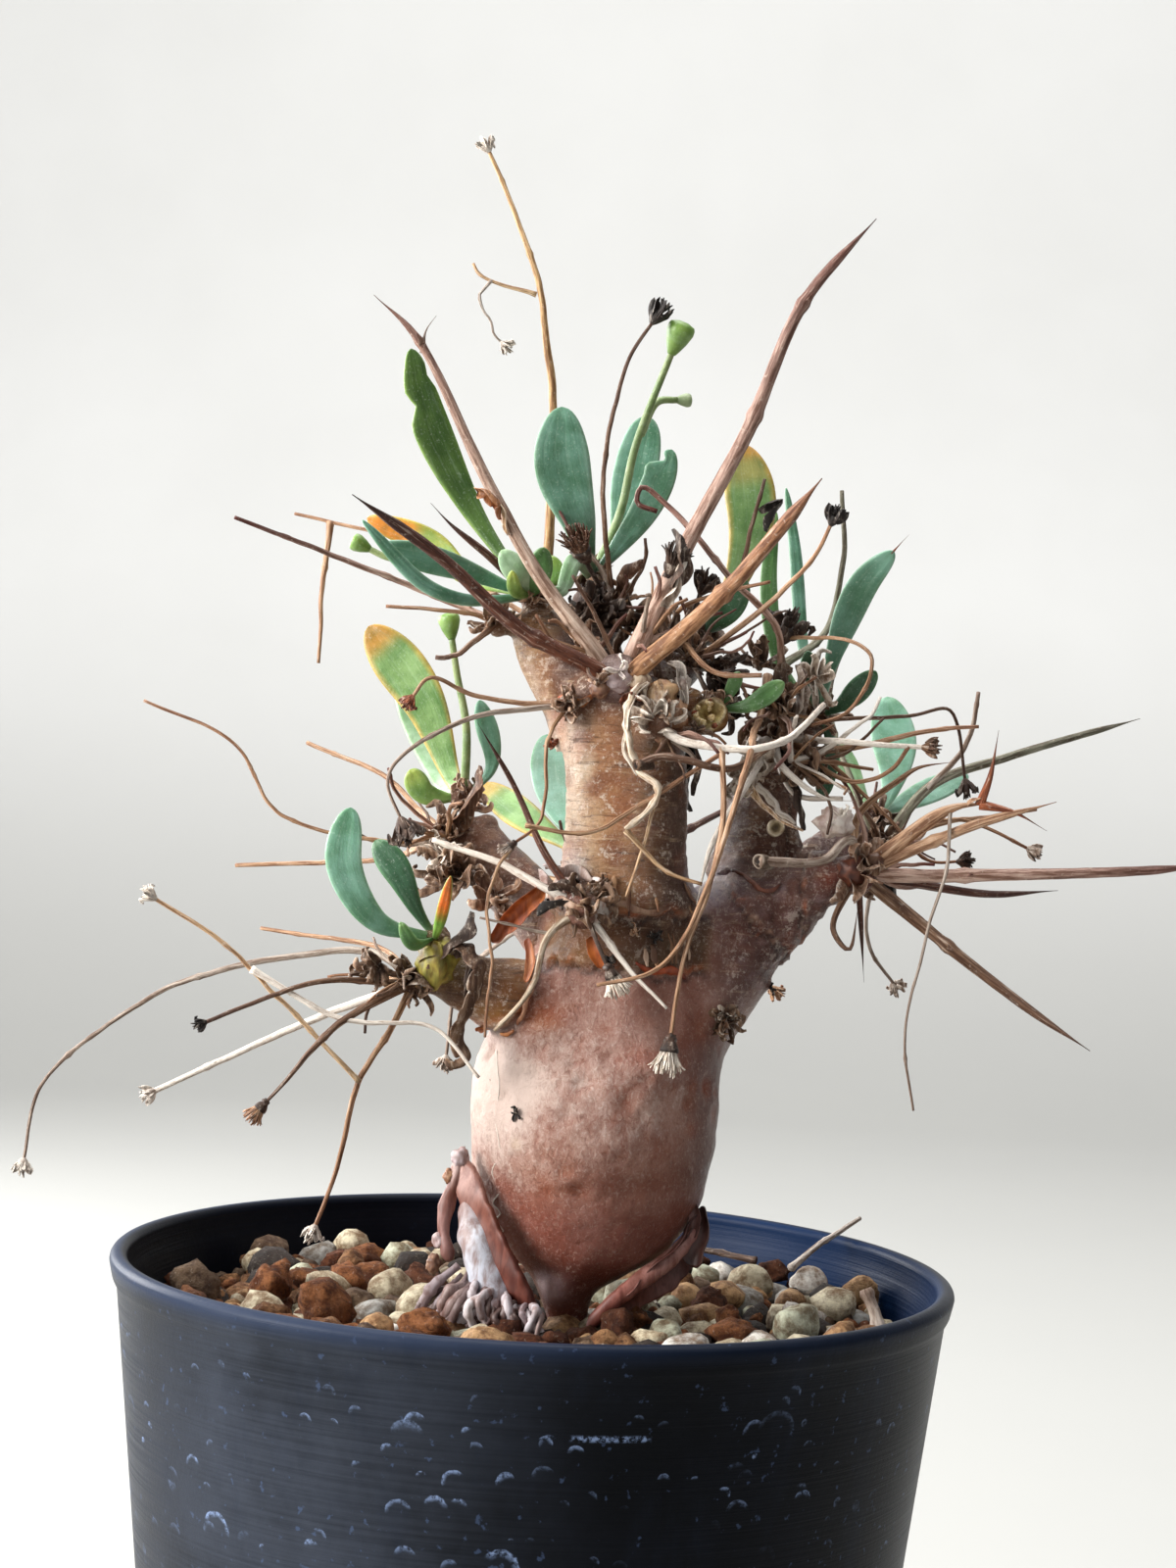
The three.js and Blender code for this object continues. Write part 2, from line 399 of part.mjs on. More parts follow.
// Dry sprays: each is one growing point with its thorns, stalks, heads and withered leaves
const SPRAYS = {
  crown_thorns: spray([7, -9.8, 163.4], 6.4, (root) => [
    spine([root, [14, -7.5, 179], [21, -8, 194], [27, -10, 210], [35, -12, 220]], 2.7, 0.6),
    spine([root, [-4, -9, 175.5], [-10.5, -8, 186], [-20.5, -5, 204], [-26, -4, 209]], 2.2, 0.6),
    spine([[-19.5, -5, 202], [-20, -5, 204.5], [-18.5, -6, 206.5]], 1, 0.5),
    spine([root, [-5.5, -16, 168], [-15, -22, 175.5], [-25, -30, 181.5]], 2.5, 0.8),
    spine([root, [14.5, -18, 169], [21, -30, 176], [27.5, -44, 184.5]], 2.9, 0.6),
    head([12.8, -8.6, 177.5], 4.4),
    stalk([root, [3, -9.5, 171], [0.5, -11, 175]], 0.6, 0.5),
  ]),
  stub_stalks: spray([11.5, -11.6, 157.5], 5, (root) => [
    stalk([root, [15, -14, 155.5], [23, -16, 155], [27.5, -14, 156.5], [32, -9, 161]], 1.1, 0.7),
    stalk([root, [9.5, -13.5, 161], [8, -14, 157.5], [8.5, -14, 152.5], [12, -15, 149], [8.5, -15, 144]],
      1.2, 1),
    stalk([[8.5, -15, 144.5], [13.5, -15, 140], [18, -15, 138.5]], 0.6, 0.5),
    stalk([[12, -15, 149], [10, -14.5, 140.5], [9, -14.5, 136.5]], 0.6, 0.5),
    stalk([[-3.5, -18, 144.5], [4, -17, 144], [12, -15, 149], [20.5, -15.6, 155]], 0.6, 0.7),
    stalk([[25.5, -1, 164.5], [24.6, -4, 159.5], [23.4, -11, 156.5], [23, -16, 155], [20.5, -18, 145],
      [16, -18, 132], [12.5, -19, 128], [6, -18.5, 126]], 1, 0.5),
    stalk([[19.5, -15.4, 155], [20, -16, 145], [16, -18, 128.5], [15, -19, 119.5]], 0.8, 0.5, 4.6),
  ]),
  crown_curls: spray([0.8, -8.8, 159.4], 4, (root) => [
    stalk([root, [-1, -12, 155], [-1.5, -12, 146], [-5, -13, 142]], 0.6, 0.5, 2.1),
    stalk([[-5, -13, 142], [-7, -16, 138], [-7, -18, 130.5], [-7, -17, 119]], 0.5, 0.5),
    stalk([root, [-10, -12, 159.5], [-16, -15, 161.5], [-18, -15, 159]], 0.8, 0.5, 2.4),
    stalk([root, [-12, -15, 156.5], [-20, -19, 149.5], [-18, -19, 144]], 1.1, 0.5, 4),
  ]),
  collar_stalks: spray([4, -12.4, 134.6], 5.4, (root) => [
    spine([root, [-1, -10.5, 141], [-5.5, -9, 149.5], [-10, -13, 156.5]], 1.1, 0.4),
    stalk([root, [-6.5, -9.5, 139.5], [-15, -8, 142]], 1.2, 0.6),
    stalk([root, [8.5, -14.5, 129.5], [14.5, -16.5, 123.5]], 1.1, 0.5),
    stalk([root, [0, -14, 131.5], [-2, -15, 124.5], [-6, -13, 119.5]], 1.2, 0.5),
    stalk([[0.5, -13.6, 131.5], [-8.5, -13, 133]], 0.6, 0.5),
    spine([root, [1.5, -14, 138.5]], 1.1, 0.7),
    stalk([root, [6, -15, 130.5], [7.5, -15.5, 127.5]], 0.6, 0.5, 3.4),
  ]),
  left_arm_stalks: spray([-16.4, -8, 124.4], 5, (root) => [
    stalk([root, [-22, -3, 127.5], [-46.5, 0, 122], [-63, 2, 108.5], [-65, 2, 98.5]], 1, 0.5, 2.7),
    stalk([root, [-20.5, 0, 127.5], [-37.5, 10, 129]], 0.9, 0.6),
    stalk([root, [-29, -15, 124], [-40.5, -17, 119]], 1, 0.6, 2.1),
    stalk([root, [-28.5, -5, 119], [-48, -5, 109]], 1, 0.6, 2.7),
    stalk([root, [-24, -15, 120], [-30.5, -17, 112.5], [-33, -17, 109.5]], 1.4, 0.5, 2.8),
    stalk([root, [-19, -12, 118], [-22, -13, 112.5], [-24, -13, 102], [-26.5, -13, 94.5]], 1.1, 0.5, 2.8),
    stalk([[-22, -13, 112.5], [-39, -15, 128.5], [-47.5, -16, 133.5]], 0.6, 0.5, 2.6),
    stalk([[-35.5, -15, 125.5], [-24, -15, 120], [-13.5, -14, 119.5], [-7.5, -15.5, 114]], 0.6, 0.5),
    dead([root, [-8.5, -12, 128.5], [-8.5, -12, 124], [-10, -13, 118], [-11.5, -13, 114.5]], 1.8, 0.9),
    dead([root, [-19.5, -10, 126.5], [-22.5, -11, 126]], 4.1, 3.1),
  ]),
  left_back_stalks: spray([-14.8, 11.4, 142.4], 4.8, (root) => [
    stalk([root, [-20, 8, 141], [-35.5, 6, 144], [-41.5, 6, 152.5], [-53.5, 6, 157.5]], 0.6, 0.5),
    stalk([root, [-18.5, 24, 145], [-24.5, 30, 149.5], [-35.5, 36, 153.5]], 0.9, 0.7),
    stalk([root, [-22.5, 28, 138.5], [-44.5, 36, 136]], 1, 0.7),
    dead([root, [-11.5, 9.2, 147], [-10.5, 9.5, 151.5]], 3.3, 1.5),
  ]),
  top_left_stalks: spray([-8.6, -0.6, 169.4], 4.6, (root) => [
    stalk([root, [-18.5, 0, 173], [-29.5, -4, 176.5], [-41, -10, 180]], 1, 0.5),
    stalk([root, [-13, -3, 170.5], [-22.5, -4, 170.5]], 0.7, 0.5),
    stalk([root, [-10.5, -4, 167.5], [-13, -4, 165], [-16, -4, 164.5]], 0.9, 0.7),
  ]),
  top_back_stalks: spray([-3.4, 7.2, 170], 5.4, (root) => [
    stalk([root, [-3.2, 14, 180], [-3.5, 16, 198.5], [-6.5, 18, 215.5], [-11, 20, 227.5], [-14, 21, 233.5]],
      1.5, 0.5, 3.1),
    stalk([[-6.5, 18, 214], [-14, 17, 216], [-15, 17, 217.5]], 0.6, 0.5),
    stalk([[-12.5, 17.2, 215.4], [-14.5, 16, 213], [-12.5, 16, 209], [-10.5, 16, 207]], 0.5, 0.5, 2.3),
    stalk([root, [-23.5, 19, 181], [-32.5, 22, 183], [-37.5, 24, 184]], 0.7, 0.5),
    stalk([[-32.5, 22, 183], [-33, 21, 172.5], [-33, 21, 164]], 0.9, 0.5),
  ]),
  top_stalks: spray([5.8, 5.2, 173], 4.6, (root) => [
    stalk([root, [5, -1, 176.5], [4, -3.5, 183], [3.6, -3, 190.5], [6, -1, 203], [9, 0, 208.5]], 0.8, 0.5, 3.7),
    stalk([root, [3.5, -3, 175], [1.6, -6.4, 178]], 0.7, 0.7, 4.6),
    dead([root, [6.5, 0, 177], [9, -2, 178]], 3.2, 2.2),
  ]),
  top_right_stalks: spray([16, 1, 166], 5, (root) => [
    stalk([root, [20, -2, 169], [29.5, -12, 178.5], [31.5, -13, 183]], 0.9, 0.5, 3.1),
    stalk([root, [15, -6, 167.5], [18.5, -12, 164], [24, -13, 164]], 0.9, 0.6),
    stalk([root, [13.5, -4, 171.5], [19, -9, 174], [24.5, -11, 175.5]], 0.7, 0.5),
    stalk([root, [15.5, -4, 171], [16.5, -6, 174.5]], 0.7, 0.5, 3.6),
    dead([root, [11, 0, 168.5], [8, 0.5, 169.5]], 3.4, 2),
  ]),
  right_top_stalks: spray([27, 5.4, 157], 6, (root) => [
    spine([root, [27.5, 4, 163.5], [27, 1, 170]], 2.5, 1.7),
    head([27.8, 0, 171.2], 5.4),
    stalk([[27.5, 4, 165], [26, -3, 170.5], [19.5, -6, 176.5], [12, -4, 184.5], [8.5, -4, 187], [8, -4, 185],
      [10.5, -4, 184]], 1, 0.6),
    stalk([[21, -5.4, 175.5], [22, -6, 181.5], [23.5, -6, 188.5]], 0.7, 0.5),
    dead([[23, -6, 184.5], [25.5, -6, 186], [24, -6, 182]], 1.5, 1.2),
    stalk([[27, 1, 169.5], [34.5, -8, 169], [37.5, -10, 167], [35, -8, 160.5], [31, -5, 158.5]], 0.6, 0.5),
    stalk([[27.4, 3, 166], [34, 12, 172], [35.5, 14, 181], [35, 16, 190]], 1.1, 0.6),
    stalk([root, [36, -5, 156.5], [45, -6, 156.5]], 1.1, 0.7, 2.9),
    stalk([root, [33, 1, 155.5], [47.5, 0, 159], [52, -2, 159.5]], 1.3, 0.5),
    stalk([root, [36.5, -3, 152], [41, -5, 153.5], [43, -6, 156.5]], 0.7, 0.6),
    stalk([root, [29.5, -1, 150], [35.5, -2.6, 149.6]], 0.9, 0.6),
    stalk([root, [34, -1, 159.5], [44.5, 3, 160.5], [49.5, 6, 161.5], [52, 7, 152.5]], 0.6, 0.5, 3),
    stalk([root, [32, 3.6, 155.5], [41.5, 3, 148], [47, 2, 142.5], [51, 1, 142.5]], 0.6, 0.5, 2.7),
    dead([root, [25.5, 0, 151.5], [22, -3, 149.5]], 5, 2.4),
    dead([root, [30, -1, 151], [31, -3, 145.5]], 2.8, 1),
    dead([root, [29.5, -1, 161.5], [29, -2, 166]], 3.5, 2.2),
  ]),
  right_thorns: spray([38, -1.4, 140.4], 6.4, (root) => [
    spine([root, [47, -1, 140.5], [60.5, -2, 141.5], [76.5, -2, 143], [82.5, -2, 144]], 2.1, 0.7),
    spine([root, [48.5, -6, 149], [53, -7, 150]], 2, 1.1),
    spine([[52, -6.8, 149.8], [53, -8, 153.5], [53.5, -9, 159]], 1.1, 0.4),
    spine([[52, -6.8, 149.8], [56, -8, 149], [60, -9, 147]], 1.1, 0.4),
    spine([root, [57, -7, 126.5], [66.5, -10, 120.5]], 1.8, 0.5),
    spine([root, [38, 2.4, 147.5], [43, 1, 152.5], [45, 0, 154], [49.5, -1, 155]], 1.4, 0.4),
    stalk([[48.5, -6, 149], [48, -8, 141.5], [46, -9, 134], [44, -9, 120.5], [45.5, -9, 112]], 0.5, 0.5),
    stalk([[46.5, -5, 147.5], [52, -1, 147.5], [59.5, 0, 144.5]], 0.6, 0.5, 2.5),
    spine([root, [35, -4, 133.5], [37, -5, 131], [38, -4, 136.5]], 1.1, 0.7),
    spine([root, [39, 2, 134], [40, 4, 126.5]], 1, 0.4),
    spine([root, [36.5, -5, 144.5], [33, -9, 142], [25, -12, 141.5]], 1.1, 1),
    dead([root, [42.5, 6, 143], [44, 8, 136]], 2.5, 2.3),
    dead([root, [36, -2.4, 146.2]], 3.2, 3.7),
  ]),
  right_back_stalks: spray([43, 21, 143.4], 4.8, (root) => [
    spine([root, [50, 26, 152], [61, 31, 156.5], [80.5, 40, 163]], 1.8, 0.7),
    stalk([[49, 25.4, 151], [54.5, 26, 158], [56, 28, 165]], 0.9, 0.7),
    stalk([root, [50, 23, 146.5], [65, 30, 149.5]], 0.8, 0.5),
    stalk([root, [43.5, 34, 130], [48, 40, 124]], 0.7, 0.5, 2.7),
    stalk([root, [39.5, 19.5, 150], [36, 30, 163], [40, 42, 174.5]], 1, 0.6),
  ]),
  back_stalks: spray([4.5, 31, 135.4], 5.4, (root) => [
    spine([root, [-10, 42, 138], [-22, 56, 146]], 1.6, 0.6),
    spine([root, [18, 46, 144], [34, 62, 152]], 1.5, 0.6),
    stalk([root, [-1, 50, 131], [-14, 66, 119.5], [-15.5, 68, 107.5]], 1.1, 0.6, 3.2),
    stalk([root, [18.5, 48, 132.5], [32.5, 60, 121]], 1.1, 0.6, 2.9),
    stalk([root, [16, 34, 146], [17, 40, 160], [14, 50, 175]], 1.1, 0.6, 3.1),
  ]),
};

// Leafy shoots: each is one rosette of leaves, some with a green flower stalk
const SHOOTS = {
  shoot_top_left: spray([-4.6, 1, 173], 4.8, (root) => [
    leaf([root, [-13, 4, 184], [-19, 3, 195], [-21.5, 2, 203.5]], 4.7, "notch"),
    leaf([root, [-13.5, -7, 175.5], [-23, -11, 177.5]], 3.6),
    leaf([root, [-13, 6, 175.5], [-18, 8, 179.5], [-26.5, 9, 182.5]], 3.8),
    leaf([root, [-13, -10, 171.5], [-17.5, -12, 173], [-25, -15, 180]], 1.8, "narrow"),
    leaf([root, [-6, -5, 175], [-8.5, -6, 178]], 3.1),
    spine([root, [-10, -3.5, 177.4], [-15, -5.5, 181], [-17.5, -6, 183.4]], 1.5, 0.5),
    leaf([root, [-2.5, 3, 175.5], [-2.5, 3.5, 178.5]], 3),
    bud([root, [-15.5, 12, 177], [-24, 14, 178], [-26.5, 14, 179]], 2.3),
  ]),
  shoot_top_middle: spray([2.8, 6.4, 176], 4.8, (root) => [
    leaf([root, [1, -1, 182], [-1.5, -2, 189], [-2, -3, 196.5]], 6.7),
    leaf([root, [6, 9, 181.5], [7.5, 11, 189.5], [9, 13, 198]], 5.9, "notch"),
    leaf([root, [6, 2, 180], [9, 0, 184.5], [12, -2, 192]], 4.1, "notch"),
    leaf([root, [0.5, -1, 177.5], [-1, -3, 173.5], [-2.5, -4, 174]], 2.1, "narrow"),
    bud([root, [6, 4, 184.5], [7.5, 4, 193], [11.5, 2, 205]], 3.5),
    bud([[8, 4, 194.5], [10, 6, 199], [12.5, 7, 199.5]], 1.8),
  ]),
  shoot_top_right: spray([17.6, 7, 170], 4.8, (root) => [
    leaf([root, [21, 9, 176], [23, 11, 185], [21.5, 13, 195]], 6.4),
    leaf([root, [19, 2, 171.5], [22, -1, 176.5]], 4.2),
  ]),
  shoot_stub: spray([18.8, -5.8, 159.7], 3.6, (root) => [
    leaf([root, [20.5, -7, 162], [21.5, -8, 164.5]], 1.8),
    leaf([root, [23, -8, 160.5], [27, -8.6, 163.5]], 2.5),
  ]),
  shoot_right_top: spray([33, 9.4, 160], 4.8, (root) => [
    leaf([root, [28, 13, 166.5], [26, 15, 176.5], [26.5, 17, 187]], 2.3, "narrow"),
    leaf([root, [31, 17, 169.5], [29.5, 20, 182.5], [28, 21, 190.5]], 1.8, "narrow"),
    leaf([root, [34, 6.5, 167], [37, 3, 176.5], [40.5, 0, 181]], 3.9),
    spine([[40, 1, 180], [41, 0, 182.5], [41.5, 0, 184]], 0.7, 0.4),
    leaf([root, [36, 6, 162], [39.5, 4, 166]], 3),
    leaf([root, [34.5, 6.6, 156.5], [34, 6, 152.5], [33.5, 5, 149.5]], 2.7),
    leaf([root, [31.5, 4, 164], [30.5, 2, 168]], 2.5),
  ]),
  shoot_right_back: spray([42.4, 24.8, 147.4], 4.4, (root) => [
    leaf([root, [44.5, 28, 150.5], [45.5, 32, 156], [44.5, 36, 164]], 6),
    leaf([root, [48, 36, 149.5], [57.5, 46, 154]], 4.2),
    leaf([root, [40.5, 36, 151.5], [38, 46, 158.5]], 4.2),
  ]),
  shoot_left_arm: spray([-14, -8, 130], 4.2, (root) => [
    leaf([root, [-21, -13, 132], [-25, -15, 138.5], [-24.5, -16, 145.5]], 4.5),
    leaf([root, [-16.5, -9, 133.5], [-19, -9, 138], [-22, -8, 141.5]], 3.6),
    leaf([root, [-13, -16, 133], [-12, -19, 138]], 1.5, "narrow"),
    leaf([root, [-16.5, -13, 129.5], [-18, -14, 132]], 1.7),
  ]),
  shoot_left_back: spray([-12.4, 14.6, 147], 4.8, (root) => [
    leaf([root, [-14.5, 20, 150], [-19, 23, 160], [-27, 26, 169.5]], 6.6),
    leaf([root, [-15.5, 27, 149], [-19.5, 32, 156.5], [-23, 35, 166]], 5.4),
    leaf([root, [-9, 14, 151.5], [-11, 14, 160]], 2.8),
    leaf([root, [-17.5, 13, 147.5], [-19.5, 12.5, 150.5]], 3.3),
    bud([root, [-12.5, 12, 156.5], [-14, 12, 163], [-15, 12, 168]], 2.8),
  ]),
  shoot_back: spray([4.5, 26.6, 139.8], 4.8, (root) => [
    leaf([root, [-0.5, 38, 147], [-2.5, 48, 156.5]], 5.6),
    leaf([root, [11, 40, 146], [14.5, 50, 154.5]], 5.1),
    leaf([root, [5.5, 44, 145.5], [5, 56, 151.5]], 4.3, "notch"),
    leaf([root, [-4, 40, 144], [-11.5, 50, 149]], 4.8),
  ]),
};

// The assembly
const plant = new THREE.Group();

function addNode(name, solid, color, roughness = 0.7) {
  const material = new THREE.MeshStandardMaterial({ color, roughness, metalness: 0 });
  const mesh = new THREE.Mesh(toGeometry(solid), material);
  mesh.name = name;
  plant.add(mesh);
}

const grownCaudex = caudex(CLEAR);
addNode("pot", potGeometry(), COLOURS.pot, 0.45);
addNode("gravel", gravel(grownCaudex), COLOURS.gravel, 0.95);
addNode("caudex", caudex(), COLOURS.bark, 0.55);
for (const [name, pieces] of Object.entries(SPRAYS)) {
  const color = name.endsWith("thorns") ? COLOURS.thorn : COLOURS.dry;
  addNode(name, mainBody(fuse(pieces).subtract(grownCaudex)), color, 0.75);
}
for (const [name, pieces] of Object.entries(SHOOTS)) {
  addNode(name, mainBody(fuse(pieces).subtract(grownCaudex)), COLOURS.leaf, 0.5);
}

export default plant;
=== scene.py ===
"""A potted othonna: a bare swollen caudex in gravel, with dry thorny stalks and small blue-green leaves."""
import math
import random

import bmesh
import bpy
import numpy as np
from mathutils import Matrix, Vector, noise
from mathutils.bvhtree import BVHTree


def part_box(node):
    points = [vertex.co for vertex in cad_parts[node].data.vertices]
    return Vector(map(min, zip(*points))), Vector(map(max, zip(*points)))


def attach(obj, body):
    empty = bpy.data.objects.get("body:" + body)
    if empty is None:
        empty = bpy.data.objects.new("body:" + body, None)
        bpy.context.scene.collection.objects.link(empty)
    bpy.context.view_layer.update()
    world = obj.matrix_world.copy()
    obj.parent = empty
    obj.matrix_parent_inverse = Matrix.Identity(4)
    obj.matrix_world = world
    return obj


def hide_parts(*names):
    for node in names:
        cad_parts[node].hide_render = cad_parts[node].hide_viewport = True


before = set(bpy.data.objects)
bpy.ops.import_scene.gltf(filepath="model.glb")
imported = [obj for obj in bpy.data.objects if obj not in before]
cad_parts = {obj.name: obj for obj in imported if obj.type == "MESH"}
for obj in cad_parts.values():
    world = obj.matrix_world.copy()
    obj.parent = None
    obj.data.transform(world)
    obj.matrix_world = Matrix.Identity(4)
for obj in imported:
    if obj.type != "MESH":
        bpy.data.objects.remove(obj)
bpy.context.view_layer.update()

# The plant and its pot are in mm until they become pieces. The room, the lights and the materials are in
# metres. The object's front is towards -Y
MM = 0.001
FRONT = (0.0, -1.0, 0.0)

# The photograph's view: the camera's place and roll, its focal length in pixels and the picture's height
CAMERA = {"place": (3.7, -342.7, 149.8), "roll": 3.0, "focal": 2786, "height": 1600, "sensor": 36}

# The gravel's level, and the spacing and radii of its grains and of the grit between them
LEVEL = 82.0
GRAINS = {"spacing": 5.8, "sizes": (2.1, 4.1)}
GRIT = {"spacing": 3.1, "sizes": (0.8, 1.7)}
POT = {"wall": 2.2, "floor": 3, "base": 42, "lip": 3.4, "proud": 0.55, "holes": 6, "hole": 3.5, "circle": 24,
       "sides": 160}
ROOM = {"front": -3.0, "bend": 0.9, "radius": 0.5, "height": 3.0, "side": 4.0}

# The sides of round things, and the size of the grid on which the caudex's parts run together
SIDES = {"bole": 56, "arm": 28, "lump": 18, "thorn": 16, "stalk": 8, "cup": 12, "cut": 36, "bud": 20,
         "bud_stalk": 9, "strand": 10}
VOXEL = 0.5

# How many there are of small things, and the seeds of the random draws
COUNTS = {"pits": 120, "strands": 52, "scales": 30, "threads": 9, "facets": 9}
SEEDS = {"gravel": 5, "pits": 21, "flaps": 17, "collar": 3, "litter": 8}


# Numbers and noise
def hue(text):
    """Linear red, green and blue of a colour written as #80a090"""
    parts = [int(text[i:i + 2], 16) / 255 for i in (1, 3, 5)]
    return np.array([c / 12.92 if c <= 0.04045 else ((c + 0.055) / 1.055) ** 2.4 for c in parts])


def smooth(low, high, value):
    """0 below low, 1 above high and a smooth step between them"""
    t = np.clip((np.asarray(value, float) - low) / (high - low), 0, 1)
    return t * t * (3 - 2 * t)


def peak(value, at, width):
    """1 where value is at, falling smoothly to both sides"""
    return np.exp(-((value - at) / width) ** 2)


def ripple(points, scale, shift=0.0):
    """A smooth noise from -1 to 1 at each of the points, with features about 1 / scale mm across"""
    return np.array([noise.noise(Vector(p) * scale + Vector((shift, -shift, 0.37 * shift))) for p in points])


def wander(points, scale, seed, shifts):
    """A smooth random move for each of the points"""
    return np.column_stack([ripple(points, scale, seed + k) for k in shifts])


def turns(count):
    """Angles spread evenly round a circle"""
    return np.linspace(0, 2 * math.pi, count, endpoint=False)


def scatter(draw, spread=1):
    return np.array([draw.gauss(0, spread) for _ in range(3)])


def unit(v):
    return v / np.maximum(np.linalg.norm(v, axis=-1, keepdims=True), 1e-9)


# Curves
def through(route, per_span=14):
    """Closely spaced points on the smooth curve through a route"""
    p = np.array(route, float)
    ends = np.vstack([2 * p[0] - p[1], p, 2 * p[-1] - p[-2]])
    spans = []
    for a, b, c, d in zip(ends, ends[1:], ends[2:], ends[3:]):
        before, here, after = [max(np.linalg.norm(v - u) ** 0.5, 1e-4) for u, v in ((a, b), (b, c), (c, d))]
        leave = ((b - a) / before - (c - a) / (before + here) + (c - b) / here) * here
        arrive = ((c - b) / here - (d - b) / (here + after) + (d - c) / after) * here
        t = np.linspace(0, 1, per_span, endpoint=False)[:, None]
        spans.append(
            (2 * t ** 3 - 3 * t ** 2 + 1) * b + (t ** 3 - 2 * t ** 2 + t) * leave
            + (3 * t ** 2 - 2 * t ** 3) * c + (t ** 3 - t ** 2) * arrive
        )
    return np.vstack([*spans, p[-1:]])


def even(route, step, stops=None):
    """Points on the curve through a route, step mm apart or at the given shares of its length. It also gives
    how far along the curve each point is, in mm and as a share"""
    dense = through(route)
    run = np.concatenate([[0], np.cumsum(np.linalg.norm(np.diff(dense, axis=0), axis=1))])
    if stops is None:
        stops = np.linspace(0, 1, max(5, int(run[-1] / step) + 1))
    at = np.asarray(stops) * run[-1]
    return np.column_stack([np.interp(at, run, dense[:, k]) for k in range(3)]), at, at / at[-1]


def carried(points, first=(0.31, 0.19, 0.93)):
    """The tangent and two cross directions at each point, carried along without twisting"""
    tangents = unit(np.gradient(points, axis=0))
    normal = np.array(first)
    normals = []
    for tangent in tangents:
        normal = unit(normal - tangent * (normal @ tangent))
        normals.append(normal)
    normals = np.array(normals)
    return tangents, normals, np.cross(tangents, normals)


def crossing(at, away):
    """The direction away and two directions across it"""
    axis = unit(np.array(away, float))
    _, (one, *_), (two, *_) = carried(np.array([at - axis, at, at + axis]))
    return axis, one, two


# Surfaces
class Shape:
    """The surfaces of one piece: points, faces with their material, and a tint and a grain for each point"""

    def __init__(self):
        self.points, self.tints, self.grains, self.faces, self.slots = [], [], [], [], []
        self.count = 0

    def take(self, points, faces, slot, tint, grain):
        self.points.append(points)
        self.tints.append(tint)
        self.grains.append(grain)
        self.faces += [[self.count + i for i in face] for face in faces]
        self.slots += [slot] * len(faces)
        self.count += len(points)

    def rings(self, rings, slot, tint, grain=None):
        """A closed surface through rings of points, with its ends shut"""
        n, m = rings.shape[:2]
        tint = np.asarray(tint, float)
        if tint.shape[-1] == 3:
            tint = np.concatenate([tint, np.zeros((*tint.shape[:-1], 1))], axis=-1)
        tint = np.broadcast_to(tint, (n, m, 4)).reshape(-1, 4)
        grain = rings.reshape(-1, 3) if grain is None else np.broadcast_to(grain, (n, m, 3)).reshape(-1, 3)
        points = np.vstack([rings.reshape(-1, 3), rings[0].mean(axis=0), rings[-1].mean(axis=0)])
        foot, tip, last = n * m, n * m + 1, (n - 1) * m
        faces = []
        for i in range(n - 1):
            for j in range(m):
                a, b = i * m + j, i * m + (j + 1) % m
                faces.append((a, b, b + m, a + m))
        for j in range(m):
            k = (j + 1) % m
            faces += [(foot, k, j), (tip, last + j, last + k)]
        ends = [0, last]
        self.take(points, faces, slot, np.vstack([tint, tint[ends]]), np.vstack([grain, grain[ends]]))

    def make(self, name, nodes, slot_name):
        """The piece itself, which stands for the named nodes"""
        piece = add_object(name, np.vstack(self.points) * MM, self.faces)
        mesh = piece.data
        used = sorted(set(self.slots))
        for slot in used:
            mesh.materials.append(MATERIALS[slot])
        mesh.polygons.foreach_set("material_index", [used.index(s) for s in self.slots])
        mesh.polygons.foreach_set("use_smooth", [True] * len(self.faces))
        tint = mesh.color_attributes.new("tint", "FLOAT_COLOR", "POINT")
        tint.data.foreach_set("color", np.vstack(self.tints).astype(np.float32).ravel())
        grain = mesh.attributes.new("grain", "FLOAT_VECTOR", "POINT")
        grain.data.foreach_set("vector", np.vstack(self.grains).astype(np.float32).ravel())
        mesh.update()
        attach(piece, "root")
        if nodes:
            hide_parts(*nodes)
        return piece


def add_object(name, points, faces):
    mesh = bpy.data.meshes.new(name)
    mesh.from_pydata(points.tolist(), [], faces)
    made = bpy.data.objects.new(name, mesh)
    bpy.context.scene.collection.objects.link(made)
    return made


def unit_sphere(rounds):
    """The points and faces of a sphere cut from an icosahedron"""
    mesh = bpy.data.meshes.new("sphere")
    build = bmesh.new()
    bmesh.ops.create_icosphere(build, subdivisions=rounds, radius=1)
    build.to_mesh(mesh)
    build.free()
    points = np.array([v.co[:] for v in mesh.vertices])
    faces = [list(p.vertices) for p in mesh.polygons]
    bpy.data.meshes.remove(mesh)
    return points, faces


def circle(x, y, radius, z, sides, start=0.0):
    angles = turns(sides) + start
    return np.column_stack([x + radius * np.cos(angles), y + radius * np.sin(angles), np.full(sides, z)])


